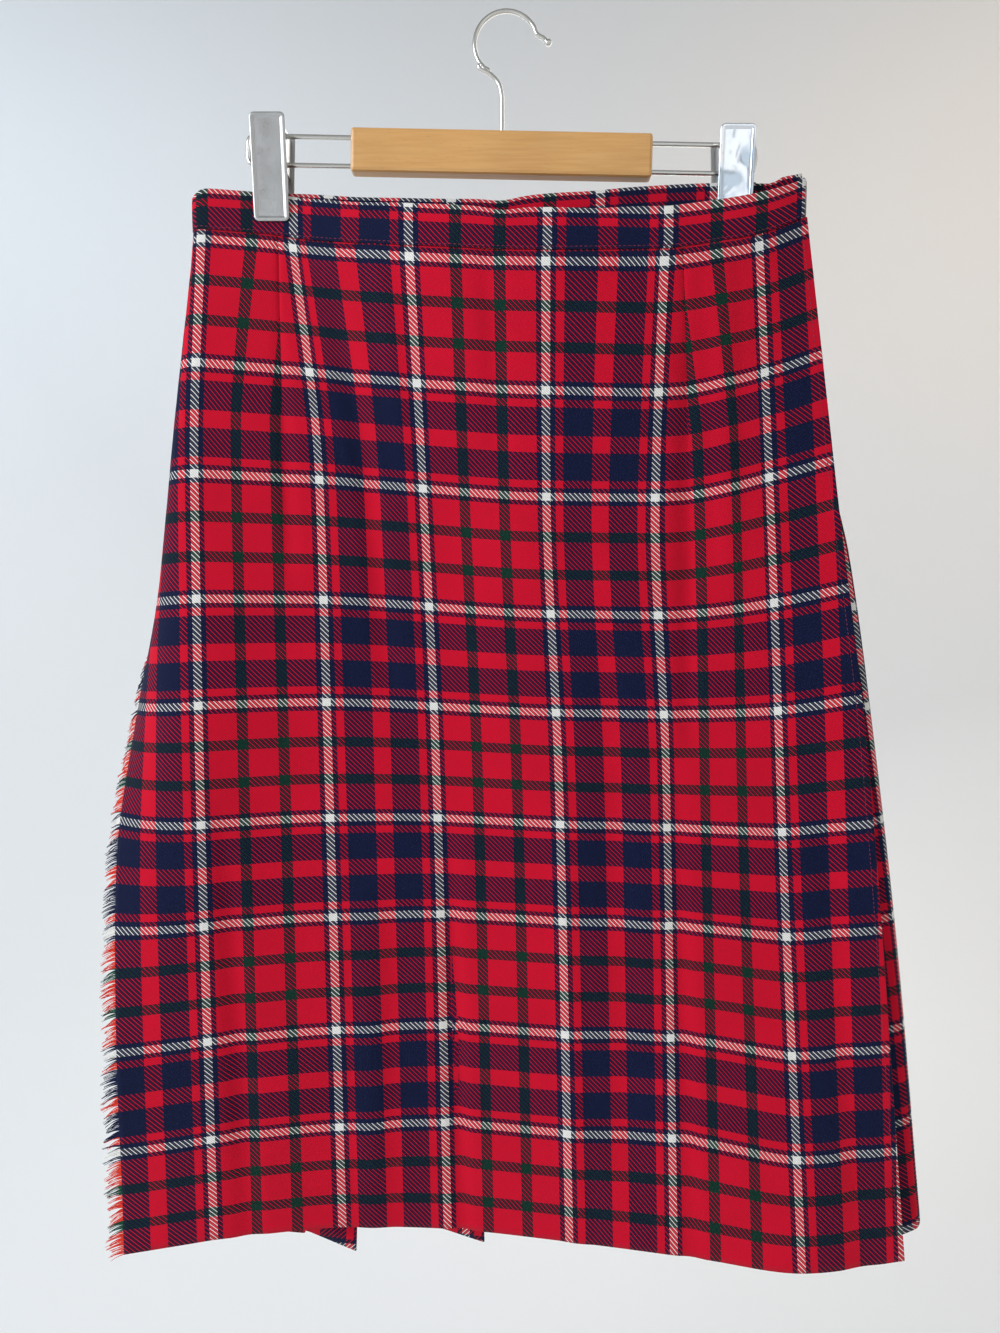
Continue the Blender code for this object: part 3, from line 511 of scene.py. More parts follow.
CHECK_ROWS = (
    # place along the cloth, height on each of the six white lines
    (0.0, (-134.8, -140.7, -150.4, -155.1, -154.5, -143.2)),
    (142.0, (-278.6, -281.8, -287.3, -292.9, -293.5, -280.9)),
    (284.0, (-423.4, -422.6, -425.7, -429.2, -430.3, -427.8)),
    (426.0, (-564.9, -563.6, -563.1, -565.9, -568.5, -574.2)),
    (568.0, (-705.9, -704.8, -704.6, -708.4, -708.9, -718.0)),
)
SEAM_PLACE = -6.5
HEM_PLACE = 638.0
DARTS = (
    # place across, cloth taken in at the waist, the white lines on each side of it
    (57.5, 28.0, 0.0, 80.0),
    (321.0, 24.0, 300.0, 380.0),
)
DART_REACH = 0.17
DART_DIP = 1.3
print("lines down the front:", len(FRONT_LINES))

# %% Where the front hangs
ACROSS = [line[1] for line in FRONT_LINES]
FOLD_PLACE = ACROSS[-1]
CREASES = (
    # place across and level at its top, the same at its foot, half its width, its depth
    (321.0, 0.08, 316.0, 0.50, 10.0, 3.2),
    (57.5, 0.08, 60.0, 0.34, 8.0, 2.0),
    (104.0, 0.04, 122.0, 0.46, 13.0, 2.6),
    (156.0, 0.55, 160.0, 1.06, 10.0, 3.6),
    (14.0, 0.56, 24.0, 1.06, 12.0, 2.6),
    (103.0, 0.62, 100.0, 1.06, 15.0, -2.2),
    (262.0, 0.28, 268.0, 0.95, 18.0, 2.2),
    (232.0, 0.52, 236.0, 1.06, 13.0, -1.8),
    (305.0, 0.46, 312.0, 1.06, 11.0, 2.6),
    (350.0, -0.02, 346.0, 0.34, 14.0, -2.0),
    (196.0, -0.04, 200.0, 0.20, 11.0, 1.8),
    (130.0, -0.04, 138.0, 0.22, 10.0, -1.5),
    (412.0, 0.50, 420.0, 1.06, 15.0, 2.2),
)


def crease_depth(across, level):
    """How far the soft folds sink the cloth here; a ridge is a negative depth."""
    depth = 0.0
    for top_across, top, foot_across, foot, half_width, full in CREASES:
        share = (level - top) / (foot - top)
        if not 0.0 < share < 1.0:
            continue
        off = abs(across - mix((top_across, foot_across), share)) / half_width
        if off < 1.0:
            depth += full * (1.0 - off * off) ** 2 * math.sin(math.pi * share) ** 0.6
    return depth


def front_lines_at(level):
    """The x, y and z of every line at one level."""
    xs = [curve(LEVELS, line[2], level) for line in FRONT_LINES]
    ys = [curve(LEVELS, line[3], level) for line in FRONT_LINES]
    zs = [mix(line[4], level) for line in FRONT_LINES]
    return xs, ys, zs


def front_spot(lines, across):
    return tuple(curve(ACROSS, values, across) for values in lines)


def rows_at(level):
    """The place along the cloth at one level, on each of the white lines."""
    places = []
    for number, line in enumerate(WHITE_LINES):
        drops = [-line[4][0]] + [-row[1][number] for row in CHECK_ROWS] + [-line[4][1]]
        marks = [SEAM_PLACE] + [row[0] for row in CHECK_ROWS] + [HEM_PLACE]
        places.append(curve(drops, marks, -mix(line[4], level)))
    return places


def place_along(places, across):
    return curve([line[1] for line in WHITE_LINES], places, across)


def fold_reach(lines):
    """How much cloth lies between the sixth white line and the right fold."""
    (x, y, _), (fold_x, fold_y, _) = front_spot(lines, 380.0), front_spot(lines, FOLD_PLACE)
    return math.hypot(fold_x - x, fold_y - y) * 1.01


def place_across(across, side, level, reach):
    """The place on the flat cloth, seen from one side of the spot: a dart has swallowed some."""
    if across > 380.0:
        return 380.0 + reach * (across - 380.0) / (FOLD_PLACE - 380.0)
    for dart, taken, line_before, line_after in DARTS:
        half = 0.5 * taken * max(0.0, 1.0 - level / DART_REACH)
        if line_before < across < dart or (across == dart and side < 0):
            return line_before + (across - line_before) * (dart - half - line_before) / (dart - line_before)
        if dart < across < line_after or (across == dart and side > 0):
            return line_after - (line_after - across) * (line_after - dart - half) / (line_after - dart)
    return across


print("soft folds on the front:", len(CREASES))

# %% [markdown]
# ## The left side of the over-apron
# At the waist the over-apron goes on round the side and is buttoned at the back. Lower down nothing
# holds it, so its fringed edge swings forward until it lies flat beside the front. Each level is a
# short straight lead, an even bend and then a straight run, so one table of bends draws the whole side.

# %% Where the left side hangs
SIDE_LEVELS = (0.0, 0.10, 0.23, 0.31, 0.42, 0.51, 0.62, 0.75, 1.0)
SIDE_BEND = (0.166, 0.100, 0.0590, 0.0425, 0.0250, 0.0168, 0.0080, 0.0020, 0.0)
SIDE_HEADING = (0.0, 0.0, 0.0, 0.0, -4.0, -6.0, -6.0, -5.0, -4.0)
SIDE_LEAD = (0.0, 1.0, 3.0, 4.0, 2.0, 0.0, 0.0, 0.0, 0.0)
SIDE_WIDTH = (51.2, 53.0, 56.0, 57.0, 58.5, 59.0, 58.5, 57.8, 57.8)
EDGE_Z = (-131.0, -781.0)
SIDE_RIPPLES = ((0.46, 1.1), (0.57, -1.3), (0.70, 1.0), (0.83, -1.2), (0.94, 0.9))


def side_spot(lines, distance, level):
    """A spot that far past the first white line, towards the fringed edge."""
    x, y, z = front_spot(lines, 0.0)
    share = distance / curve(SIDE_LEVELS, SIDE_WIDTH, level)
    heading = math.radians(curve(SIDE_LEVELS, SIDE_HEADING, level))
    bend = max(curve(SIDE_LEVELS, SIDE_BEND, level), 1e-5)
    lead = min(curve(SIDE_LEVELS, SIDE_LEAD, level), distance)
    arc = min(distance - lead, (math.pi - heading) / bend)
    tail = distance - lead - arc
    turned = heading + bend * arc
    x -= math.cos(heading) * lead + (math.sin(turned) - math.sin(heading)) / bend - tail
    y += math.sin(heading) * lead + (math.cos(heading) - math.cos(turned)) / bend
    return x, y, z + (mix(EDGE_Z, level) - z) * share


def ripple(distance, level):
    """The free edge isn't dead straight: it wavers by a millimetre, most at the edge itself."""
    sway = 0.0
    for middle, size in SIDE_RIPPLES:
        sway += size * math.exp(-((level - middle) / 0.05) ** 2)
    return sway * (distance / 60.0) ** 3


def edge_place(places, distance, level):
    """The place along the cloth past the first white line: half way down, the free edge curls up."""
    curl = 5.5 * math.exp(-((level - 0.58) / 0.09) ** 2)
    return place_along(places, 0.0) + curl * (distance / 60.0) ** 1.5


FOLD_RADIUS = 0.65
RIGHT_FOLD_RADIUS = 0.85
DEEP_JOIN = 10.0
DEEP_DEPTH = (26.0, 38.0, 50.0, 75.0)
DEEP_Y = (-3.9, -3.0, -2.5, -9.0)


def turned_in(lines, level):
    """Round the right fold and back inside, as far as the deep pleat's own piece."""
    x, y, z = front_spot(lines, FOLD_PLACE)
    radius = RIGHT_FOLD_RADIUS
    last_x = x - curve(LEVELS, DEEP_DEPTH, level) + DEEP_JOIN
    inner_y = curve(LEVELS, DEEP_Y, level)
    spots = []
    for degrees in (-60, -30, 0, 30, 60, 90):
        angle = math.radians(degrees)
        spots.append((x + radius * math.cos(angle), y + radius + radius * math.sin(angle), z))
    for share in (0.2, 0.4, 0.6, 0.8, 1.0):
        spots.append((mix((x, last_x), share), mix((y + 2 * radius, inner_y), share), z))
    return spots


def apron_columns():
    """The columns across the front: about 3.5 mm apart, and one on each dart."""
    columns = []
    for before, after in zip(ACROSS, ACROSS[1:]):
        count = max(2, round((after - before) / 3.4))
        columns += [before + (after - before) * step / count for step in range(count)]
    for dart, *_ in DARTS:
        columns += [dart - 0.9, dart + 0.9]
    return sorted(columns) + [ACROSS[-1]]


APRON_COLUMNS = apron_columns()
SIDE_STEPS = 20
APRON_ROWS = 132


def apron_row(level):
    lines = front_lines_at(level)
    rows = rows_at(level)
    reach = fold_reach(lines)
    width = curve(SIDE_LEVELS, SIDE_WIDTH, level)
    row = []
    for step in range(SIDE_STEPS, 0, -1):
        distance = width * step / SIDE_STEPS
        x, y, z = side_spot(lines, distance, level)
        along = edge_place(rows, distance, level)
        row.append((x, y + ripple(distance, level), z, -distance, -distance, along))
    for across in APRON_COLUMNS:
        x, y, z = front_spot(lines, across)
        y += crease_depth(across, level)
        for dart, *_ in DARTS:
            y += DART_DIP * max(0.0, 1.0 - level / DART_REACH) ** 0.5 * math.exp(-abs(across - dart) / 1.3)
        before = place_across(across, -1, level, reach)
        after = place_across(across, 1, level, reach)
        row.append((x, y, z, before, after, place_along(rows, min(across, 380.0))))
    last = (*row[-1][:3], row[-1][3])
    for x, y, z in turned_in(lines, level):
        place = last[3] + math.hypot(x - last[0], y - last[1])
        row.append((x, y, z, place, place, row[-1][5]))
        last = (x, y, z, place)
    return row


over_apron = cloth_sheet(
    "over_apron", [apron_row(step / APRON_ROWS) for step in range(APRON_ROWS + 1)], tartan)
declare(over_apron, "tartan_wool", "apron_front")
print("over-apron:", len(over_apron.data.polygons), "cells")

# %% [markdown]
# ## The knife pleats and the deep pleat
# All round the back the cloth is folded into thirteen knife pleats, pressed flat and all facing one
# way. Seen from above each is a flat face, a sharp fold, a layer that goes back under it and a second
# fold. The photograph shows only three or four of the inner folds, below the front hem, so the others
# repeat them. Each pleat's check is measured from its own sharp edge, which runs down a yarn, and what
# doesn't fit at the waist is swallowed by the hidden inner fold, as a maker does it.

# %% The back's tables
RIGHT_END_LEVELS = (0.0, 0.23, 0.31, 0.51, 0.72, 1.0)
RIGHT_END_X = (184.3, 206.5, 220.0, 242.5, 262.0, 282.5)
RIGHT_END_INNER_Y = (-2.4, 0.5, 1.0, 2.0, 2.0, 2.0)
RIGHT_END_ROUND = 8.0
BACK_Y_LEFT = (5.8, 12.5, 16.0, 14.0)
BACK_Y_MIDDLE = (5.8, 20.0, 28.0, 32.0)
BACK_Y_RIGHT = (5.8, 12.0, 22.0, 33.0)
BACK_STACK = (5.2, 6.2, 7.0, 8.0)
WAIST_BOW = 9.0
WAIST_BOW_HALF = 122.0
BACK_LEFT_X = (-184.0, -240.0)
BACK_HEM_X = (-240.0, 60.0, 150.0, 255.0, 276.0, 288.0)
BACK_HEM_Z = (-787.0, -787.0, -790.0, -785.0, -779.5, -771.0)
BACK_ROWS_X = (-240.0, 60.0, 150.0, 255.0, 276.0, 288.0)
BACK_ROWS_PLACE = (-152.5, -152.5, -150.5, -138.5, -133.0, -122.5)
PLEAT_DEPTH = (24.5, 38.0)
FIRST_PLEAT_X = 178.5
PLEAT_STEP = 25.9
PLEATS = (
    # where the inner fold meets the hem, how far it swings forward there, how far its tip hangs low
    (283.0, 3.0, 1.0),
    (245.0, 5.0, 1.5),
    (207.0, 3.0, 1.0),
    (170.0, 7.0, 2.0),
    (132.0, 4.0, 1.0),
    (95.0, 2.0, 0.5),
    (57.0, 11.5, 4.5),
    (21.0, 5.5, 0.5),
    (-15.0, 12.0, 8.0),
    (-58.0, 6.0, 0.0),
    (-102.0, 10.5, 11.5),
    (-137.0, 5.5, 0.0),
    (-169.0, 3.0, 0.5),
)
LEFT_TURN_ROUND = 8.0
LEFT_JOIN = 12.0
SEAM_GAP = 0.3
BAND_HEIGHT = 24.5
BACK_TOP_X = (-195.0, -130.0, -30.0, 60.0, 126.0, 154.0, 190.0)
BACK_TOP_Z = (-105.0, -107.0, -110.0, -104.0, -100.6, -100.0, -98.0)
END_CREST_PLACE = 8.5
print("knife pleats:", len(PLEATS))

# %% Where the back hangs
def back_top(x):
    return curve(BACK_TOP_X, BACK_TOP_Z, x)


def back_seam(x):
    return back_top(x) - BAND_HEIGHT - SEAM_GAP


def back_hem(x):
    return curve(BACK_HEM_X, BACK_HEM_Z, x)


def waist_bow(x):
    """How far the back of the waist stands off between the two clips."""
    if abs(x) >= WAIST_BOW_HALF:
        return 0.0
    return WAIST_BOW * math.cos(0.5 * math.pi * x / WAIST_BOW_HALF) ** 2


def back_outer(x, level):
    """The y of the pleats' outer folds."""
    left_x = mix(BACK_LEFT_X, level)
    right_x = curve(RIGHT_END_LEVELS, RIGHT_END_X, level)
    place = min(max((x - left_x) / (right_x - left_x), 0.0), 1.0)
    heights = [curve(LEVELS, side, level) for side in (BACK_Y_LEFT, BACK_Y_MIDDLE, BACK_Y_RIGHT)]
    fade = max(0.0, 1.0 - level / LEVELS[1])
    return curve((0.0, 0.5, 1.0), heights, place) + waist_bow(x) * fade


def tight_fold(x, y, outward):
    """Round a pressed fold whose crest is at x, starting at y and coming back 1.3 mm nearer the front."""
    spots = []
    for degrees in (90, 45, 0, -45, -90):
        angle = math.radians(degrees)
        spots.append((
            x + outward * FOLD_RADIUS * (math.cos(angle) - 1.0),
            y + FOLD_RADIUS * (math.sin(angle) - 1.0),
        ))
    return spots


def wide_turn(crest_x, width, from_y, to_y, outward, steps=13):
    """Round a wide turn, from one y to the other."""
    middle, half = (from_y + to_y) / 2, (to_y - from_y) / 2
    angles = [math.pi * (step / (steps - 1) - 0.5) for step in range(steps)]
    return [
        (crest_x - outward * width * (1.0 - math.cos(angle)), middle + half * math.sin(angle))
        for angle in angles
    ]


def run_between(start, end, steps, bow=0.0):
    """The points between two spots, with a little roundness."""
    spots = []
    for step in range(1, steps):
        share = step / steps
        spots.append((
            mix((start[0], end[0]), share),
            mix((start[1], end[1]), share) + bow * math.sin(math.pi * share),
        ))
    return spots


def back_outline(level):
    """The back seen from above, and its crests' numbers: the end's, the sharp folds', the inner folds'."""
    lines = front_lines_at(level)
    fold_x = front_spot(lines, FOLD_PLACE)[0]
    deep_x = fold_x - curve(LEVELS, DEEP_DEPTH, level)
    deep_y = curve(LEVELS, DEEP_Y, level)
    end_x = curve(RIGHT_END_LEVELS, RIGHT_END_X, level)
    inner_y = curve(RIGHT_END_LEVELS, RIGHT_END_INNER_Y, level)
    outer_y = back_outer(end_x, level)
    round_width = min(RIGHT_END_ROUND, (outer_y - inner_y) / 2)
    outline = [(deep_x + DEEP_JOIN - SEAM_GAP, deep_y)]
    outline += [(x, 2 * deep_y - y) for x, y in tight_fold(deep_x, deep_y, -1.0)]
    turn = wide_turn(end_x, round_width, inner_y, outer_y, 1.0)
    outline += run_between(outline[-1], turn[0], 16)
    end_crest = len(outline) + len(turn) // 2
    outline += turn
    sharp, inner = [], []
    depth = mix(PLEAT_DEPTH, level)
    stack = curve(LEVELS, BACK_STACK, level)
    for number, (hem_x, hem_swing, _) in enumerate(PLEATS):
        inner_x = mix((FIRST_PLEAT_X - PLEAT_STEP * number, hem_x), level)
        outer_x = inner_x - depth
        outer_fold_y = back_outer(outer_x, level)
        inner_fold_y = back_outer(inner_x, level) - stack - hem_swing * level**2
        fold = tight_fold(outer_x, outer_fold_y, -1.0)
        outline += run_between(outline[-1], fold[0], 7, 0.5)
        sharp.append(len(outline) + 2)
        outline += fold
        fold = tight_fold(inner_x, inner_fold_y + 2 * FOLD_RADIUS, 1.0)
        outline += run_between(outline[-1], fold[0], 4)
        inner.append(len(outline) + 2)
        outline += fold
    last_x = mix(BACK_LEFT_X, level) + LEFT_JOIN
    last = (last_x, back_outer(last_x, level))
    outline += run_between(outline[-1], last, 7, 0.5) + [last]
    return outline, end_crest, sharp, inner


def travelled(outline):
    """The length along an outline, at each of its points."""
    lengths = [0.0]
    for before, after in zip(outline, outline[1:]):
        lengths.append(lengths[-1] + math.hypot(after[0] - before[0], after[1] - before[1]))
    return lengths


def tip_drops(outline, sharp, inner):
    """How far the hem hangs lower at each point: most at an inner fold, nothing on the faces outside."""
    drops = [0.0] * len(outline)
    for start, fold, (_, _, low) in zip(sharp, inner, PLEATS):
        for spot in range(start, fold + 1):
            drops[spot] = low * (spot - start) / (fold - start)
        spot = fold + 1
        while spot < len(outline) and outline[fold][0] - outline[spot][0] < 40.0:
            drops[spot] = low * max(0.0, 1.0 - (outline[fold][0] - outline[spot][0]) / 38.0)
            spot += 1
            if spot in sharp:
                break
    return drops


hem_outline, hem_crest, hem_sharp, _ = back_outline(1.0)
hem_lengths = travelled(hem_outline)
FIRST_LENGTH = hem_lengths[hem_crest]
SHARP_PLACES = [END_CREST_PLACE + hem_lengths[spot] - FIRST_LENGTH for spot in hem_sharp]
BACK_END_PLACE = END_CREST_PLACE + hem_lengths[-1] - FIRST_LENGTH
BACK_ROWS = 72


def back_row(level):
    outline, end_crest, sharp, inner = back_outline(level)
    lengths = travelled(outline)
    anchors = [(0, END_CREST_PLACE - lengths[end_crest])]
    starts = [sharp[0]] + inner[:-1]
    anchors += [(start, place - lengths[spot]) for start, spot, place in zip(starts, sharp, SHARP_PLACES)]
    anchors.append((inner[-1], BACK_END_PLACE - lengths[-1]))
    row = []
    current = 0
    drops = tip_drops(outline, sharp, inner)
    for spot, (x, y) in enumerate(outline):
        before = lengths[spot] + anchors[current][1]
        while current + 1 < len(anchors) and spot >= anchors[current + 1][0]:
            current += 1
        after = lengths[spot] + anchors[current][1]
        z = mix((back_seam(x), back_hem(x)), level) - drops[spot] * level**3
        row.append((x, y, z, before, after, curve(BACK_ROWS_X, BACK_ROWS_PLACE, x) - z))
    return row


pleats = cloth_sheet("pleats", [back_row(step / BACK_ROWS) for step in range(BACK_ROWS + 1)], tartan)
declare(pleats, "tartan_wool", "pleats_back")
print("pleats:", len(pleats.data.polygons), "cells; cloth round the back at the hem:",
      round(BACK_END_PLACE - SHARP_PLACES[0]), "mm")

# %% [markdown]
# ## The under-apron
# The other end of the same length of cloth goes round the left side and lies flat inside the front. It
# is plain, and only its top and hem can be seen.

# %% The under-apron
UNDER_Y_LEFT = (-1.4, -5.0, -6.0, -8.0)
UNDER_Y_MIDDLE = (-1.4, 3.0, 6.0, 3.5)
UNDER_Y_RIGHT = (-1.4, 1.5, 4.0, 1.0)
UNDER_MIDDLE_SHARE = 0.4
UNDER_RIGHT_X = (153.5, 163.0, 174.0, 186.0)
UNDER_HEM_Z = -776.0
UNDER_ROWS = 48


def under_outline(level, steps=60):
    """The under-apron seen from above: round the left end, then to the right inside the front."""
    left_x = mix(BACK_LEFT_X, level)
    start_x = left_x + LEFT_JOIN - SEAM_GAP
    outer_y = back_outer(start_x, level)
    left_y = curve(LEVELS, UNDER_Y_LEFT, level)
    round_width = min(LEFT_TURN_ROUND, (outer_y - left_y) / 2)
    outline = [(start_x, outer_y)] + wide_turn(left_x, round_width, outer_y, left_y, -1.0)
    end_x = curve(LEVELS, UNDER_RIGHT_X, level)
    heights = (left_y, curve(LEVELS, UNDER_Y_MIDDLE, level), curve(LEVELS, UNDER_Y_RIGHT, level))
    for step in range(1, steps + 1):
        share = step / steps
        x = mix((left_x + round_width, end_x), share)
        outline.append((x, curve((0.0, UNDER_MIDDLE_SHARE, 1.0), heights, share)))
    return outline


def under_row(level):
    outline = under_outline(level)
    row = []
    for (x, y), length in zip(outline, travelled(outline)):
        z = mix((back_seam(x), UNDER_HEM_Z), level)
        place = BACK_END_PLACE + length
        row.append((x, y, z, place, place, HEM_PLACE + UNDER_HEM_Z - z))
    return row


under_apron = cloth_sheet(
    "under_apron", [under_row(step / UNDER_ROWS) for step in range(UNDER_ROWS + 1)], tartan)
declare(under_apron, "tartan_wool", "apron_under")
print("under-apron:", len(under_apron.data.polygons), "cells")

# %% [markdown]
# ## The waistband
# The band is a straight strip of the same cloth, folded over the top edge of the skirt and stitched
# down. Its white crossing line lies on the fold, a little behind it at the left and down on the front
# at the right. It is built as one loop of points, up the outside, over the fold and down the inside,
# carried along the waist. A line of stitching close above the lower edge pulls the cloth in a little.
# Where nothing holds it in the middle, the top edge has a small dip, and at the left end, where the
# band turns back, its corner is soft and low.

# %% The band's shape
BAND_THICK = 2.1
FOLD_LINE_PLACE = 75.5
STITCH_UP = 1.6


def outward(outline):
    """The direction that points out of the waist, at each point of an outline."""
    points = np.array(outline, dtype=float)
    ahead = np.gradient(points, axis=0)
    ahead /= np.linalg.norm(ahead, axis=1)[:, None]
    return np.stack((ahead[:, 1], -ahead[:, 0]), axis=-1)


def band_section(thick):
    """Round the band from the lower edge outside, over the top and down inside: offset, height."""
    half = thick / 2
    corner = min(half, 1.05)
    outside = []
    for height in (0.0, 0.6, 1.1, STITCH_UP, 2.1, 3.0, 6.0, 10.0, 14.0, 18.0, 21.5, BAND_HEIGHT - corner):
        pull = 0.28 * math.exp(-((height - STITCH_UP) / 0.7) ** 2)
        full = 0.10 * math.sin(math.pi * height / BAND_HEIGHT)
        outside.append((half - pull + full - 0.05, height))
    top = []
    for degrees in (22, 45, 68, 90):
        angle = math.radians(degrees)
        across = half - corner + corner * math.cos(angle)
        top.append((across, BAND_HEIGHT - corner + corner * math.sin(angle)))
    over = top + [(-offset, height) for offset, height in reversed(top)]
    return outside + over + [(-offset, height) for offset, height in reversed(outside)]


BAND_DIPS = (
    # x of the middle, half its width, its depth at the top edge
    (-3.0, 11.0, 2.0),
    (52.0, 16.0, 0.8),
    (-92.0, 18.0, 0.6),
    (-196.0, 6.5, 6.0),
    (178.0, 16.0, 1.4),
)
BACK_RISE_X = (150.0, 163.0, 172.0, 183.0)
BACK_RISE = (0.0, 0.0, 4.4, 5.6)


def dip(x):
    return sum(depth * math.exp(-((x - middle) / half) ** 2) for middle, half, depth in BAND_DIPS)


def close_ends(band, columns, lines):
    """Join the loop's first and last rows and close both ends of the band."""
    shape = bmesh.new()
    shape.from_mesh(band.data)
    shape.verts.ensure_lookup_table()
    cloth = shape.loops.layers.uv["cloth"]
    for first in (0, columns - 1):
        ring = [shape.verts[line * columns + first] for line in range(lines)]
        place = {vert: next(loop[cloth].uv.copy() for loop in vert.link_loops) for vert in ring}
        cap = shape.faces.new(ring if first else list(reversed(ring)))
        for loop in cap.loops:
            loop[cloth].uv = place[loop.vert]
    bmesh.ops.remove_doubles(shape, verts=shape.verts, dist=1e-6)
    bmesh.ops.recalc_face_normals(shape, faces=shape.faces)
    shape.to_mesh(band.data)
    shape.free()


def make_band(name, outline, bottoms, places, thick, lifts=None, rises=None):
    """Carry the section along the waist. A lift moves the white line off the fold; a rise, the top edge."""
    section = band_section(thick)
    reach = travelled(section)
    middle = reach[len(reach) // 2]
    lifts = lifts or [0.0] * len(outline)
    rises = rises or [0.0] * len(outline)
    rows = []
    for (offset, height), length in zip(section, reach):
        row = []
        columns = zip(outline, outward(outline), bottoms, places, lifts, rises)
        for (x, y), (out_x, out_y), z, place, lift, rise in columns:
            down = FOLD_LINE_PLACE + middle - length - lift
            sunk = (dip(x) - rise) * (height / BAND_HEIGHT) ** 2
            row.append((x + out_x * offset, y + out_y * offset, z + height - sunk, place, place, down))
        rows.append(row)
    rows.append(rows[0])
    band = cloth_sheet(name, rows, tartan)
    band.modifiers.remove(band.modifiers["thickness"])
    close_ends(band, len(outline), len(section))
    return band


# %% The three lengths of the band
BACK_BAND_THICK = 6.0
BACK_BAND_LEFT_X = -184.0
BACK_BAND_RIGHT_X = 182.7
BACK_BAND_FRONT_Y = 0.1
FRONT_BAND_TURN = ((182.0, -5.9), (184.2, -1.0), (184.2, 6.1))
UNDER_BAND_TURN_X = -187.1
UNDER_BAND_TURN_ROUND = 2.0
UNDER_BAND_TURN_DEEP = 3.8
THIRD_WHITE_X = -58.7
LIFT_X = (-192.0, -165.0, -130.0, -80.0, -50.0, 0.0, 50.0, 88.0, 186.0)
LIFT = (1.0, 0.8, -0.4, -0.2, 0.6, 0.7, 1.0, 2.6, 2.9)
UNDER_WHITES_X = (-190.0, -110.0, -34.0, 58.0, 128.0, 200.0)
UNDER_WHITES_PLACE = (0.0, 80.0, 150.0, 230.0, 300.0, 380.0)


def band_place(past):
    """The check's place that far past the third white line. The band is eased a little at both ends."""
    fifth = 150.0 / 0.965
    if past < 0.0:
        return 150.0 + past * 0.945
    if past > fifth:
        return 300.0 + (past - fifth) * 0.905
    return 150.0 + past * 0.965


def front_band():
    lines = front_lines_at(0.0)
    spots = [side_spot(lines, SIDE_WIDTH[0] * step / 30, 0.0) for step in range(30, 0, -1)]
    spots += [front_spot(lines, across) for across in APRON_COLUMNS if across < ACROSS[-1] - 3.0]
    last_z = FRONT_LINES[-1][4][0]
    spots += [(x, y, last_z) for x, y in FRONT_BAND_TURN]
    outline = [spot[:2] for spot in spots]
    bottoms = [spot[2] + SEAM_GAP for spot in spots]
    lengths = travelled(outline)
    anchor = min(
        range(len(outline)),
        key=lambda spot: abs(outline[spot][0] - THIRD_WHITE_X) + abs(outline[spot][1] + 20.0))
    places = [band_place(length - lengths[anchor]) for length in lengths]
    print("the check on the band's right end:", round(places[-1], 1))
    lifts = [curve(LIFT_X, LIFT, x) for x, _ in outline]
    return make_band("band_front", outline, bottoms, places, BAND_THICK, lifts), outline, bottoms


band_front, front_band_line, front_band_bottoms = front_band()
declare(band_front, "tartan_wool", "waistband_front")

back_run = [mix((BACK_BAND_RIGHT_X, BACK_BAND_LEFT_X), step / 90) for step in range(91)]
back_band_line = [(x, BACK_BAND_FRONT_Y + BACK_BAND_THICK / 2 + waist_bow(x)) for x in back_run]
back_band_bottoms = [back_seam(x) + 2 * SEAM_GAP for x in back_run]
band_back = make_band(
    "band_back", back_band_line, back_band_bottoms, travelled(back_band_line), BACK_BAND_THICK - 0.1,
    rises=[curve(BACK_RISE_X, BACK_RISE, x) for x in back_run])
declare(band_back, "tartan_wool", "waistband_back")

under_turn = wide_turn(
    UNDER_BAND_TURN_X, UNDER_BAND_TURN_ROUND, UNDER_Y_LEFT[0] + UNDER_BAND_TURN_DEEP,
    UNDER_Y_LEFT[0], -1.0, 9)
under_band_line = [(BACK_BAND_LEFT_X - SEAM_GAP, UNDER_Y_LEFT[0] + UNDER_BAND_TURN_DEEP)] + under_turn
under_band_line += [spot for spot in under_outline(0.0)[14:] if spot[0] > under_turn[-1][0] + 1.0]
under_places = [float(np.interp(x, UNDER_WHITES_X, UNDER_WHITES_PLACE)) for x, _ in under_band_line]
band_under = make_band(
    "band_under", under_band_line, [back_seam(x) + SEAM_GAP for x, _ in under_band_line], under_places,
    BAND_THICK)
declare(band_under, "tartan_wool", "waistband_under")

# %% [markdown]
# ## Sewing
# Two lines of machine stitching show: one along the foot of the band, and one that holds the pressed
# edge of the right fold, 3 mm in from it. A stitch is a short loop of thread that dives into the cloth
# at both ends, so each one is a small spindle, thick in the middle and sunk at its tips.

# %% Stitches
STITCH_PITCH = 2.9
STITCH_LENGTH = 2.3
THREAD_RADIUS = 0.22
SPINDLE = ((0.0, 0.35, -0.28), (0.2, 0.85, 0.02), (0.5, 1.0, 0.10), (0.8, 0.85, 0.02), (1.0, 0.35, -0.28))


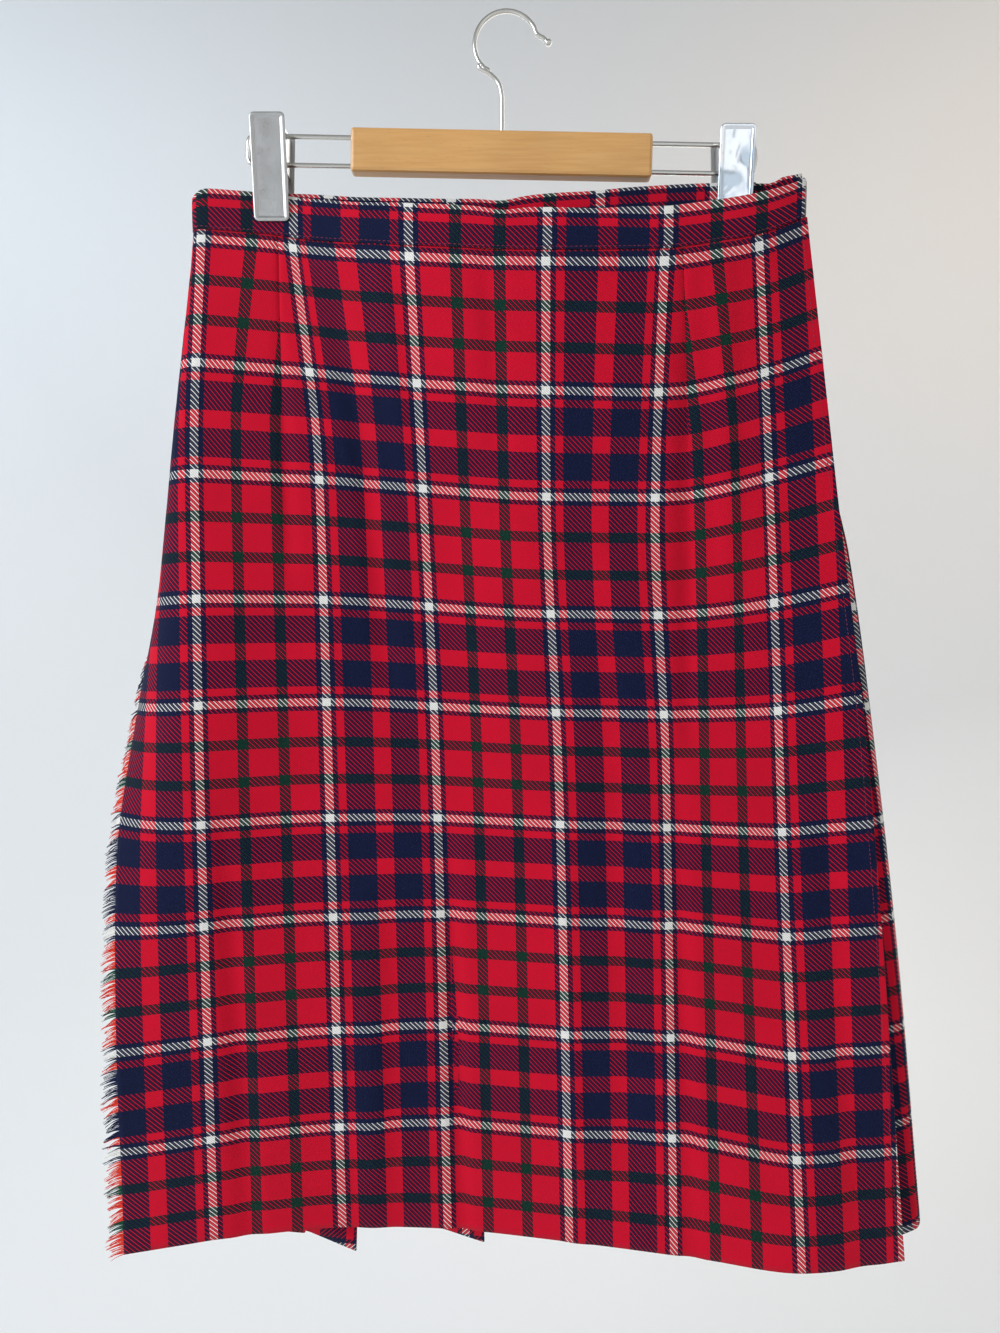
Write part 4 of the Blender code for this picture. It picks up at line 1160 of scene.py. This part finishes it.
def stitch_line(name, spots, outs, surface):
    """Sew along a line of spots on the cloth's face; outs point out of the cloth."""
    spots, outs = np.array(spots, dtype=float), np.array(outs, dtype=float)
    lengths = np.concatenate(([0.0], np.cumsum(np.linalg.norm(np.diff(spots, axis=0), axis=1))))

    def at(length, table):
        return np.array([np.interp(length, lengths, table[:, axis]) for axis in range(3)])

    verts, faces = [], []
    start = 1.0
    while start + STITCH_LENGTH < lengths[-1]:
        first = len(verts)
        ahead = at(start + STITCH_LENGTH, spots) - at(start, spots)
        ahead /= np.linalg.norm(ahead)
        for share, fat, rise in SPINDLE:
            out = at(start + STITCH_LENGTH * share, outs)
            out /= np.linalg.norm(out)
            side = np.cross(ahead, out)
            middle = at(start + STITCH_LENGTH * share, spots) + out * rise
            for corner in range(5):
                angle = 2.0 * math.pi * corner / 5
                ring = out * math.sin(angle) + side * math.cos(angle)
                verts.append((middle + ring * THREAD_RADIUS * fat) * MM)
        for ring in range(len(SPINDLE) - 1):
            for corner in range(5):
                low, high = first + ring * 5, first + (ring + 1) * 5
                after = (corner + 1) % 5
                faces.append((low + corner, low + after, high + after, high + corner))
        faces.append(tuple(first + corner for corner in reversed(range(5))))
        faces.append(tuple(first + (len(SPINDLE) - 1) * 5 + corner for corner in range(5)))
        start += STITCH_PITCH
    mesh = bpy.data.meshes.new(name)
    mesh.from_pydata([tuple(vert) for vert in verts], [], faces)
    mesh.polygons.foreach_set("use_smooth", [True] * len(faces))
    mesh.materials.append(surface)
    sewn = bpy.data.objects.new(name, mesh)
    bpy.context.scene.collection.objects.link(sewn)
    declare(sewn, "tartan_wool")
    return sewn


def band_stitches(name, outline, bottoms, thick):
    """The stitches along the foot of a band, on its outer face."""
    outs = outward(outline)
    offset = thick / 2 - 0.22
    spots = [
        (x + out[0] * offset, y + out[1] * offset, z + STITCH_UP)
        for (x, y), out, z in zip(outline, outs, bottoms)
    ]
    return stitch_line(name, spots, [(out[0], out[1], 0.0) for out in outs], wine_thread)


band_sewing = band_stitches("stitches_band_front", front_band_line, front_band_bottoms, BAND_THICK)
back_sewing = band_stitches("stitches_band_back", back_band_line, back_band_bottoms, BACK_BAND_THICK)
fold_spots = []
for step in range(121):
    level = 0.012 + 0.985 * step / 120
    lines = front_lines_at(level)
    in_from_fold = FOLD_PLACE - 3.2 * (FOLD_PLACE - 380.0) / fold_reach(lines)
    x, y, z = front_spot(lines, in_from_fold)
    fold_spots.append((x, y + crease_depth(in_from_fold, level) - CLOTH_THICK / 2 - 0.02, z))
fold_sewing = stitch_line("stitches_fold", fold_spots, [(0.25, -0.97, 0.0)] * len(fold_spots), wine_thread)
print("sewn lines:", band_sewing.name, back_sewing.name, fold_sewing.name)

# %% [markdown]
# ## The fringe
# The left edge is ravelled: for eight millimetres the warp has been pulled out and the weft yarns stand
# free. There are some twelve hundred. They droop a little, curl, and cling together in small tufts, so
# each tuft draws the tips of its yarns together.

# %% The fringe
YARN_PITCH = 0.55
YARN_RADIUS = 0.36
TUFT = 5
YARN_STEPS = (0.0, 0.25, 0.5, 0.75, 1.0)


def edge_at(level):
    """The apron's edge, and the way out of it."""
    lines = front_lines_at(level)
    width = curve(SIDE_LEVELS, SIDE_WIDTH, level)
    x, y, z = side_spot(lines, width, level)
    back_x, back_y, _ = side_spot(lines, width - 2.0, level)
    y += ripple(width, level)
    back_y += ripple(width - 2.0, level)
    splay = curve((0.0, 0.36, 0.43, 1.0), (0.0, 0.0, 0.9, 0.5), level)
    way_x, way_y = x - back_x, y - back_y
    reach = math.hypot(way_x, way_y)
    way_x, way_y = way_x / reach - splay, way_y / reach
    reach = math.hypot(way_x, way_y)
    return (x, y, z), (way_x / reach, way_y / reach), edge_place(rows_at(level), width, level)


TUFT_LEVELS = (0.0, 0.45, 0.7, 1.0)
TUFT_GROWTH = (0.8, 0.84, 1.06, 1.25)


def make_fringe():
    count = int((EDGE_Z[0] - EDGE_Z[1]) / YARN_PITCH)
    verts, faces, places = [], [], []
    tuft_length, tuft_drop, tuft_sway, tuft_level = 7.0, 2.0, 0.0, 0.0
    for number in range(count):
        level = (number + 0.5) / count
        if number % TUFT == 0:
            tuft_length = random.uniform(6.8, 9.4)
            tuft_drop = random.uniform(3.0, 5.6)
            tuft_sway = random.uniform(-0.8, 0.8)
            tuft_level = (number + TUFT / 2) / count
        (x, y, z), (out_x, out_y), along = edge_at(level)
        pull = (tuft_level - level) * (EDGE_Z[1] - EDGE_Z[0]) * random.uniform(0.2, 0.8)
        length = tuft_length * random.uniform(0.82, 1.08) * curve(TUFT_LEVELS, TUFT_GROWTH, level)
        drop = tuft_drop * random.uniform(0.8, 1.2)
        sway = tuft_sway + random.uniform(-0.5, 0.5)
        first = len(verts)
        for step in YARN_STEPS:
            out = -0.6 + (length + 0.6) * step
            wave = 0.25 * math.sin(5.0 * step + number) * step
            middle = np.array((
                x + out_x * out - out_y * (sway * step + wave),
                y + out_y * out + out_x * (sway * step + wave),
                z - drop * step**1.6 + pull * step + wave,
            ))
            thin = YARN_RADIUS * (1.0 - 0.5 * step)
            for corner in range(3):
                angle = 2.0 * math.pi * corner / 3 + number
                swing = thin * math.cos(angle)
                around = np.array((-out_y * swing, out_x * swing, thin * math.sin(angle)))
                verts.append((middle + around) * MM)
        rings = len(YARN_STEPS)
        for ring in range(rings - 1):
            for corner in range(3):
                after = (corner + 1) % 3
                low, high = first + ring * 3, first + (ring + 1) * 3
                faces.append((low + corner, low + after, high + after, high + corner))
                places += [(0.0, along * MM)] * 4
        faces.append(tuple(first + corner for corner in (2, 1, 0)))
        faces.append(tuple(first + (rings - 1) * 3 + corner for corner in (0, 1, 2)))
        places += [(0.0, along * MM)] * 6
    mesh = bpy.data.meshes.new("fringe_yarns")
    mesh.from_pydata([tuple(vert) for vert in verts], [], faces)
    mesh.uv_layers.new(name="cloth").data.foreach_set("uv", np.array(places).reshape(-1))
    mesh.materials.append(fringe_yarn)
    yarns = bpy.data.objects.new("fringe_yarns", mesh)
    bpy.context.scene.collection.objects.link(yarns)
    print("yarn ends:", count)
    return yarns


fringe_yarns = declare(make_fringe(), "fringe_wool", "fringe")

# %% [markdown]
# ## Nickel plate, lacquered beech and horn
# The hook and wires are drawn steel wire, bright with nickel: a warm, mirror-like metal with fine
# scratches along the wire. The clips are pressed from sheet and plated too: most of it satin, and one
# plate polished until it mirrors the room. The bar is beech under clear lacquer: honey brown, with short
# darker flecks along the grain.

# %% Metals
def nickel_plate(name, swatch, roughness, grit, stretch, depth):
    """Nickel plate over steel. The grit is the width of a scratch in millimetres."""
    material, tree, shader = new_material(name, swatch, roughness, 1.0)
    body = add_node(tree, "ShaderNodeTexCoord")
    drawn = add_node(tree, "ShaderNodeMapping", {"Vector": body.outputs["Object"], "Scale": stretch})
    scratches = add_node(
        tree, "ShaderNodeTexNoise",
        {"Vector": drawn.outputs[0], "Scale": 1.0 / (grit * MM), "Detail": 3.0, "Roughness": 0.6})
    worn = add_node(
        tree, "ShaderNodeTexNoise", {"Vector": body.outputs["Object"], "Scale": 90.0, "Detail": 3.0})
    both = add_node(
        tree, "ShaderNodeMath", {0: scratches.outputs["Fac"], 1: worn.outputs["Fac"]}, operation="MULTIPLY")
    rough = add_node(
        tree, "ShaderNodeMapRange",
        {"Value": both.outputs[0], "From Min": 0.1, "From Max": 0.45,
         "To Min": roughness * 0.7, "To Max": roughness * 1.5})
    bump = add_node(
        tree, "ShaderNodeBump", {"Height": scratches.outputs["Fac"], "Strength": depth, "Distance": 0.00005})
    tree.links.new(rough.outputs[0], shader.inputs["Roughness"])
    tree.links.new(bump.outputs[0], shader.inputs["Normal"])
    return material


nickel_wire = nickel_plate("nickel_plated_wire", "#D9D6CF", 0.16, 0.5, (1.0, 1.0, 0.15), 0.15)
nickel_sheet = nickel_plate("nickel_plated_sheet", "#B9B8B6", 0.36, 0.35, (1.0, 1.0, 0.06), 0.25)


def polished_nickel_plate():
    """Thin sheet that was polished and has buckled a little: waves 18 mm apart bend what it mirrors, and its
    colour is painted lighter and darker along the same waves as painted reflection.
    """
    material, tree, shader = new_material("polished_nickel_plate", "#E2E4E8", 0.10, 1.0)
    body = add_node(tree, "ShaderNodeTexCoord")
    waves = add_node(
        tree, "ShaderNodeTexNoise",
        {"Vector": body.outputs["Object"], "Scale": 56.0, "Detail": 0.5, "Distortion": 1.8})
    smears = add_node(
        tree, "ShaderNodeTexNoise", {"Vector": body.outputs["Object"], "Scale": 420.0, "Detail": 2.0})
    rough = add_node(
        tree, "ShaderNodeMapRange", {"Value": smears.outputs["Fac"], "To Min": 0.06, "To Max": 0.2})
    # Painted reflection: the base colour is painted from a cool grey to near white along the waves, for the
    # room that the buckled mirror shows.
    painted_reflection = add_node(tree, "ShaderNodeValToRGB", {0: waves.outputs["Fac"]})
    painted_reflection.color_ramp.elements[0].position = 0.42
    painted_reflection.color_ramp.elements[0].color = linear("#BCC7D1")
    painted_reflection.color_ramp.elements[1].position = 0.55
    painted_reflection.color_ramp.elements[1].color = linear("#F2F5F9")
    tree.links.new(painted_reflection.outputs[0], shader.inputs["Base Color"])
    bump = add_node(
        tree, "ShaderNodeBump", {"Height": waves.outputs["Fac"], "Strength": 0.6, "Distance": 0.0015})
    tree.links.new(rough.outputs[0], shader.inputs["Roughness"])
    tree.links.new(bump.outputs[0], shader.inputs["Normal"])
    return material


nickel_mirror = polished_nickel_plate()
print("metals:", nickel_wire.name, nickel_sheet.name, nickel_mirror.name)

# %% Wood and horn
def lacquered_beech():
    """Beech: grain lines about 2 mm apart along the bar and short flecks across them, under lacquer."""
    material, tree, shader = new_material("lacquered_beech", "#D3A062", 0.42)
    body = add_node(tree, "ShaderNodeTexCoord")
    along = add_node(
        tree, "ShaderNodeMapping", {"Vector": body.outputs["Object"], "Scale": (0.06, 1.0, 1.0)})
    grain = add_node(
        tree, "ShaderNodeTexNoise",
        {"Vector": along.outputs[0], "Scale": 480.0, "Detail": 4.0, "Roughness": 0.6})
    flecked = add_node(
        tree, "ShaderNodeMapping", {"Vector": body.outputs["Object"], "Scale": (0.22, 1.0, 1.0)})
    flecks = add_node(
        tree, "ShaderNodeTexVoronoi", {"Vector": flecked.outputs[0], "Scale": 520.0, "Randomness": 1.0})
    streaks = add_node(
        tree, "ShaderNodeTexNoise", {"Vector": body.outputs["Object"], "Scale": 14.0, "Detail": 2.0})
    ramp = add_node(tree, "ShaderNodeValToRGB", {0: grain.outputs["Fac"]})
    ramp.color_ramp.elements[0].position = 0.30
    ramp.color_ramp.elements[0].color = linear("#D39A57")
    ramp.color_ramp.elements[1].position = 0.70
    ramp.color_ramp.elements[1].color = linear("#DEA967")
    fleck_share = add_node(
        tree, "ShaderNodeMapRange",
        {"Value": flecks.outputs["Distance"], "From Min": 0.05, "From Max": 0.22,
         "To Min": 0.2, "To Max": 0.0})
    flecky = add_node(
        tree, "ShaderNodeMix",
        {"Factor": fleck_share.outputs[0], "A": ramp.outputs[0], "B": linear("#A8743C")}, data_type="RGBA")
    tone = add_node(
        tree, "ShaderNodeMapRange",
        {"Value": streaks.outputs["Fac"], "From Min": 0.3, "From Max": 0.7, "To Min": 0.92, "To Max": 1.06})
    colour = add_node(
        tree, "ShaderNodeVectorMath", {0: flecky.outputs["Result"], "Scale": tone.outputs[0]},
        operation="SCALE")
    bump = add_node(
        tree, "ShaderNodeBump", {"Height": grain.outputs["Fac"], "Strength": 0.12, "Distance": 0.0001})
    tree.links.new(colour.outputs[0], shader.inputs["Base Color"])
    tree.links.new(bump.outputs[0], shader.inputs["Normal"])
    shader.inputs["Coat Weight"].default_value = 0.35
    shader.inputs["Coat Roughness"].default_value = 0.25
    return material


def polished_horn():
    """Horn: near black with brown clouds, polished."""
    material, tree, shader = new_material("polished_horn", "#2A1C12", 0.3)
    body = add_node(tree, "ShaderNodeTexCoord")
    clouds = add_node(
        tree, "ShaderNodeTexNoise", {"Vector": body.outputs["Object"], "Scale": 160.0, "Detail": 3.0})
    ramp = add_node(tree, "ShaderNodeValToRGB", {0: clouds.outputs["Fac"]})
    ramp.color_ramp.elements[0].position = 0.40
    ramp.color_ramp.elements[0].color = linear("#1B110A")
    ramp.color_ramp.elements[1].position = 0.68
    ramp.color_ramp.elements[1].color = linear("#5B3B21")
    tree.links.new(ramp.outputs[0], shader.inputs["Base Color"])
    shader.inputs["IOR"].default_value = 1.56
    return material


beech = lacquered_beech()
horn = polished_horn()
for name, surface in (
    ("hanger_bar", beech),
    ("clip_saddle_left", nickel_sheet),
    ("clip_saddle_right", nickel_sheet),
):
    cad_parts[name].material_slots[0].material = surface
print("wood and horn:", beech.name, horn.name)

# %% [markdown]
# ## The hanger's wires
# A wire is a curve with a round section. The hook is bent from one length: a neck that kicks to the
# left, three quarters of a ring, a flick outwards and a ball where the end has been upset so that it
# catches nothing. Each clip rides on a loop of two parallel wires.

# %% Wires
HANGER_TILT = 1.1
BAR_SIZE = (185.0, 12.0, 26.0)
BAR_CENTRE = (-3.0, 0.0, -83.4)
WIRE_RADIUS = 1.5
WIRE_SPACING = 17.0
WIRE_REACH = 157.5
WIRE_BEND = 4.0
HOOK_WIRE_RADIUS = 1.4
HOOK_RADIUS = 19.6
HOOK_NECK = ((-2.8, -56.0), (-3.2, -46.5), (-5.2, -40.6), (-10.0, -35.6), (-16.6, -30.0))
HOOK_FLICK = ((22.6, -14.6), (25.4, -17.0))
HOOK_BALL = 2.2


def hung_level(x, z):
    """A place measured from the middle of the bar, turned with the hanger."""
    turn = math.radians(HANGER_TILT)
    return (
        BAR_CENTRE[0] + x * math.cos(turn) + z * math.sin(turn),
        BAR_CENTRE[1],
        BAR_CENTRE[2] - x * math.sin(turn) + z * math.cos(turn),
    )


def wire(name, points, radius, surface, slot="steel", *nodes, smooth=True):
    """A wire through points in millimetres. The last number of four is a point's own radius."""
    path = bpy.data.curves.new(name, "CURVE")
    path.dimensions = "3D"
    path.bevel_depth = radius * MM
    path.bevel_resolution = 4
    path.use_fill_caps = True
    path.resolution_u = 6
    line = path.splines.new("BEZIER")
    line.bezier_points.add(len(points) - 1)
    for knot, point in zip(line.bezier_points, points):
        knot.co = tuple(value * MM for value in point[:3])
        knot.handle_left_type = knot.handle_right_type = "AUTO" if smooth else "VECTOR"
        knot.radius = point[3] / radius if len(point) > 3 else 1.0
    path.materials.append(surface)
    made = bpy.data.objects.new(name, path)
    bpy.context.scene.collection.objects.link(made)
    return declare(made, slot, *nodes)


hook_points = [hung_level(0.0, BAR_SIZE[2] / 2 - 3.0)]
hook_points += [(x, 0.0, z) for x, z in HOOK_NECK]
for step in range(17):
    angle = math.radians(mix((235.0, 18.0), step / 16))
    hook_points.append((
        HOOK_RADIUS * math.cos(angle), 0.0,
        HOOK_WIRE_RADIUS - HOOK_RADIUS + HOOK_RADIUS * math.sin(angle)))
hook_points.append((HOOK_FLICK[0][0], 0.0, HOOK_FLICK[0][1]))
rise = math.atan2(HOOK_FLICK[1][1] - HOOK_FLICK[0][1], HOOK_FLICK[1][0] - HOOK_FLICK[0][0])
for degrees in (-50, -30, -10, 10, 30, 50, 68, 82):
    along = HOOK_BALL * math.sin(math.radians(degrees))
    hook_points.append((
        HOOK_FLICK[1][0] + along * math.cos(rise), 0.0, HOOK_FLICK[1][1] + along * math.sin(rise),
        HOOK_BALL * math.cos(math.radians(degrees))))
wire("hook_wire", hook_points, HOOK_WIRE_RADIUS, nickel_wire, "steel", "hanger_hook")

for side_name, side in (("left", -1.0), ("right", 1.0)):
    half = WIRE_SPACING / 2
    centre = WIRE_REACH - WIRE_RADIUS - WIRE_BEND
    loop = [hung_level(side * (BAR_SIZE[0] / 2 - 2.0), half)]
    loop.append(hung_level(side * (centre - 6.0), half))
    for corner_z, first_angle in ((half - WIRE_BEND, 90.0), (WIRE_BEND - half, 0.0)):
        for step in range(4):
            angle = math.radians(first_angle - 30.0 * step)
            loop.append(hung_level(
                side * (centre + WIRE_BEND * math.cos(angle)), corner_z + WIRE_BEND * math.sin(angle)))
    loop.append(hung_level(side * (centre - 6.0), -half))
    loop.append(hung_level(side * (BAR_SIZE[0] / 2 - 2.0), -half))
    wire("loop_wire_" + side_name, loop, WIRE_RADIUS, nickel_wire, "steel", "hanger_wire_" + side_name)
print("wires: hook and two loops")

# %% [markdown]
# ## The clips
# Each clip is two plates pressed from thin sheet, with a rolled rim, held shut by a coil spring on a
# channel that slides along the wires. A plate is a stack of outlines: round the back edge, over the
# rim and down to the face, which lies 0.7 mm lower than the rim. The left plate has a satin face and
# the right one is a mirror that has buckled a little, as in the photograph.

# %% Clip plates
CLIP_WIDTH = 21.6
CLIP_HEIGHT = 61.0
CLIP_CORNER = 3.0
CLIP_SPREAD = 10.0
CLIP_ABOVE_BAR_CENTRE = 16.0
CLIP_PIN_BELOW_TOP = 16.2
CLIPS = (
    # name, x of the middle, y of the cloth's front and back faces between the jaws
    ("left", -144.0, -5.1, 6.1),
    ("right", 140.0, -2.5, 7.0),
)
PLATE_RINGS = (
    # how far in from the edge, how far proud of the plate's back
    (0.35, 0.0),
    (0.0, 0.35),
    (0.0, 0.85),
    (0.30, 1.15),
    (0.85, 1.2),
    (1.9, 1.2),
    (2.3, 1.0),
    (2.7, 0.6),
    (3.3, 0.5),
)


def plate_outline(inset, steps=6):
    """Round the plate's edge, that far in from it."""
    corner = max(CLIP_CORNER - inset, 0.6)
    points = []
    for turn, (side_x, side_z) in enumerate(((1, 1), (-1, 1), (-1, -1), (1, -1))):
        for step in range(steps + 1):
            angle = math.radians(90.0 * turn + 90.0 * step / steps)
            points.append((
                side_x * (CLIP_WIDTH / 2 - inset - corner) + corner * math.cos(angle),
                side_z * (CLIP_HEIGHT / 2 - inset - corner) + corner * math.sin(angle)))
    return points


def clip_plate(name, middle_x, top_z, jaw_y, facing, surface, node):
    """One jaw, leaning out from the cloth towards its top."""
    lean = math.atan2(CLIP_SPREAD, CLIP_HEIGHT)
    verts, faces = [], []
    for inset, proud in PLATE_RINGS:
        for x, z in plate_outline(inset):
            up = z + CLIP_HEIGHT / 2
            y = -proud * math.cos(lean) - up * math.sin(lean)
            rise_z = up * math.cos(lean) - proud * math.sin(lean)
            verts.append((
                (middle_x + x) * MM,
                (jaw_y - facing * y) * MM,
                (top_z - CLIP_HEIGHT * math.cos(lean) + rise_z) * MM))
    around = len(plate_outline(0.0))
    for ring in range(len(PLATE_RINGS) - 1):
        for corner in range(around):
            after = (corner + 1) % around
            low, high = ring * around, (ring + 1) * around
            faces.append((low + corner, low + after, high + after, high + corner))
    faces.append(tuple(reversed(range(around))))
    faces.append(tuple((len(PLATE_RINGS) - 1) * around + corner for corner in range(around)))
    if facing > 0:
        faces = [tuple(reversed(face)) for face in faces]
    mesh = bpy.data.meshes.new(name)
    mesh.from_pydata(verts, [], faces)
    mesh.polygons.foreach_set("use_smooth", [len(face) == 4 for face in faces])
    mesh.materials.append(surface)
    plate = bpy.data.objects.new(name, mesh)
    bpy.context.scene.collection.objects.link(plate)
    return declare(plate, "steel", node)


def coil_spring(name, middle_x, z, width, node):
    """Six turns of 1 mm wire round the pin."""
    turns, radius, wire_radius = 6, 1.85, 0.5
    points = []
    for step in range(turns * 10 + 1):
        angle = 2.0 * math.pi * step / 10
        points.append((
            middle_x - width / 2 + wire_radius + (width - 2 * wire_radius) * step / (turns * 10),
            BAR_CENTRE[1] + radius * math.cos(angle), z + radius * math.sin(angle)))
    return wire(name, points, wire_radius, nickel_wire, "steel", node)


for name, middle_x, front_y, back_y in CLIPS:
    top_z = hung_level(middle_x - BAR_CENTRE[0], CLIP_ABOVE_BAR_CENTRE)[2]
    front_finish = nickel_mirror if name == "right" else nickel_sheet
    clip_plate(
        "plate_front_" + name, middle_x, top_z, front_y - SEAM_GAP, -1, front_finish, "clip_front_" + name)
    clip_plate("plate_back_" + name, middle_x, top_z, back_y + SEAM_GAP, 1, nickel_sheet, "clip_back_" + name)
    coil_spring("spring_" + name, middle_x, top_z - CLIP_PIN_BELOW_TOP, 13.8, "clip_spring_" + name)
print("clips:", [clip[0] for clip in CLIPS])

# %% [markdown]
# ## The button
# The over-apron is fastened at the back left by one flat button. A turned button is a low disc with a
# raised rim, a dished middle and four holes.

# %% The button
BUTTON_X = -172.0
BUTTON_FROM_FOLD = 14.0
BUTTON_PROFILE = (
    (0.0, -1.0), (7.4, -1.0), (8.2, -0.6), (8.5, 0.1), (8.3, 0.9), (7.7, 1.2), (6.9, 1.15), (6.3, 0.7),
    (5.5, 0.45), (0.0, 0.4),
)
button_face = side_spot(front_lines_at(0.0), SIDE_WIDTH[0] - BUTTON_FROM_FOLD, 0.0)[1] + 1.1
button = lathe("horn_button", [(r * MM, z * MM) for r, z in BUTTON_PROFILE], 48, horn)
button.rotation_euler = (math.radians(-90.0), 0.0, 0.0)
button.location = (BUTTON_X * MM, (button_face + 1.5) * MM, (EDGE_Z[0] + BAND_HEIGHT / 2) * MM)
declare(button, "horn", "button")
cross = []
for way in (1.0, -1.0):
    cross.append([(BUTTON_X + way * 1.5, button_face + 2.0, EDGE_Z[0] + BAND_HEIGHT / 2 + 1.5),
                  (BUTTON_X, button_face + 2.5, EDGE_Z[0] + BAND_HEIGHT / 2),
                  (BUTTON_X - way * 1.5, button_face + 2.0, EDGE_Z[0] + BAND_HEIGHT / 2 - 1.5)])
for number, points in enumerate(cross):
    wire("button_thread_%d" % number, points, 0.35, wine_thread, "tartan_wool")
print("button at", [round(value, 4) for value in button.location])

# %% [markdown]
# ## What each sheet was cut to
# Cloth that hangs was flat once. For the over-apron, the pleats and the under-apron the maker's flat size
# is printed beside the sheet's area, so that anyone who simulates the kilt later knows how much cloth there
# is.


def flat_size(piece):
    """The sheet's own area in square metres, measured before it gets its thickness."""
    return sum(face.area for face in piece.data.polygons)


for piece, width, length in (
    (over_apron, 0.575, 0.665),
    (pleats, 1.600, 0.690),
    (under_apron, 0.460, 0.665),
):
    print(piece.name, "area", round(flat_size(piece), 4), "flat", width, "x", length)

# A band is a doubled strip. It is built closed, so half of its surface is the size of the doubled strip.
for band, line in ((band_front, front_band_line), (band_under, under_band_line), (band_back, back_band_line)):
    length = travelled(line)[-1] * MM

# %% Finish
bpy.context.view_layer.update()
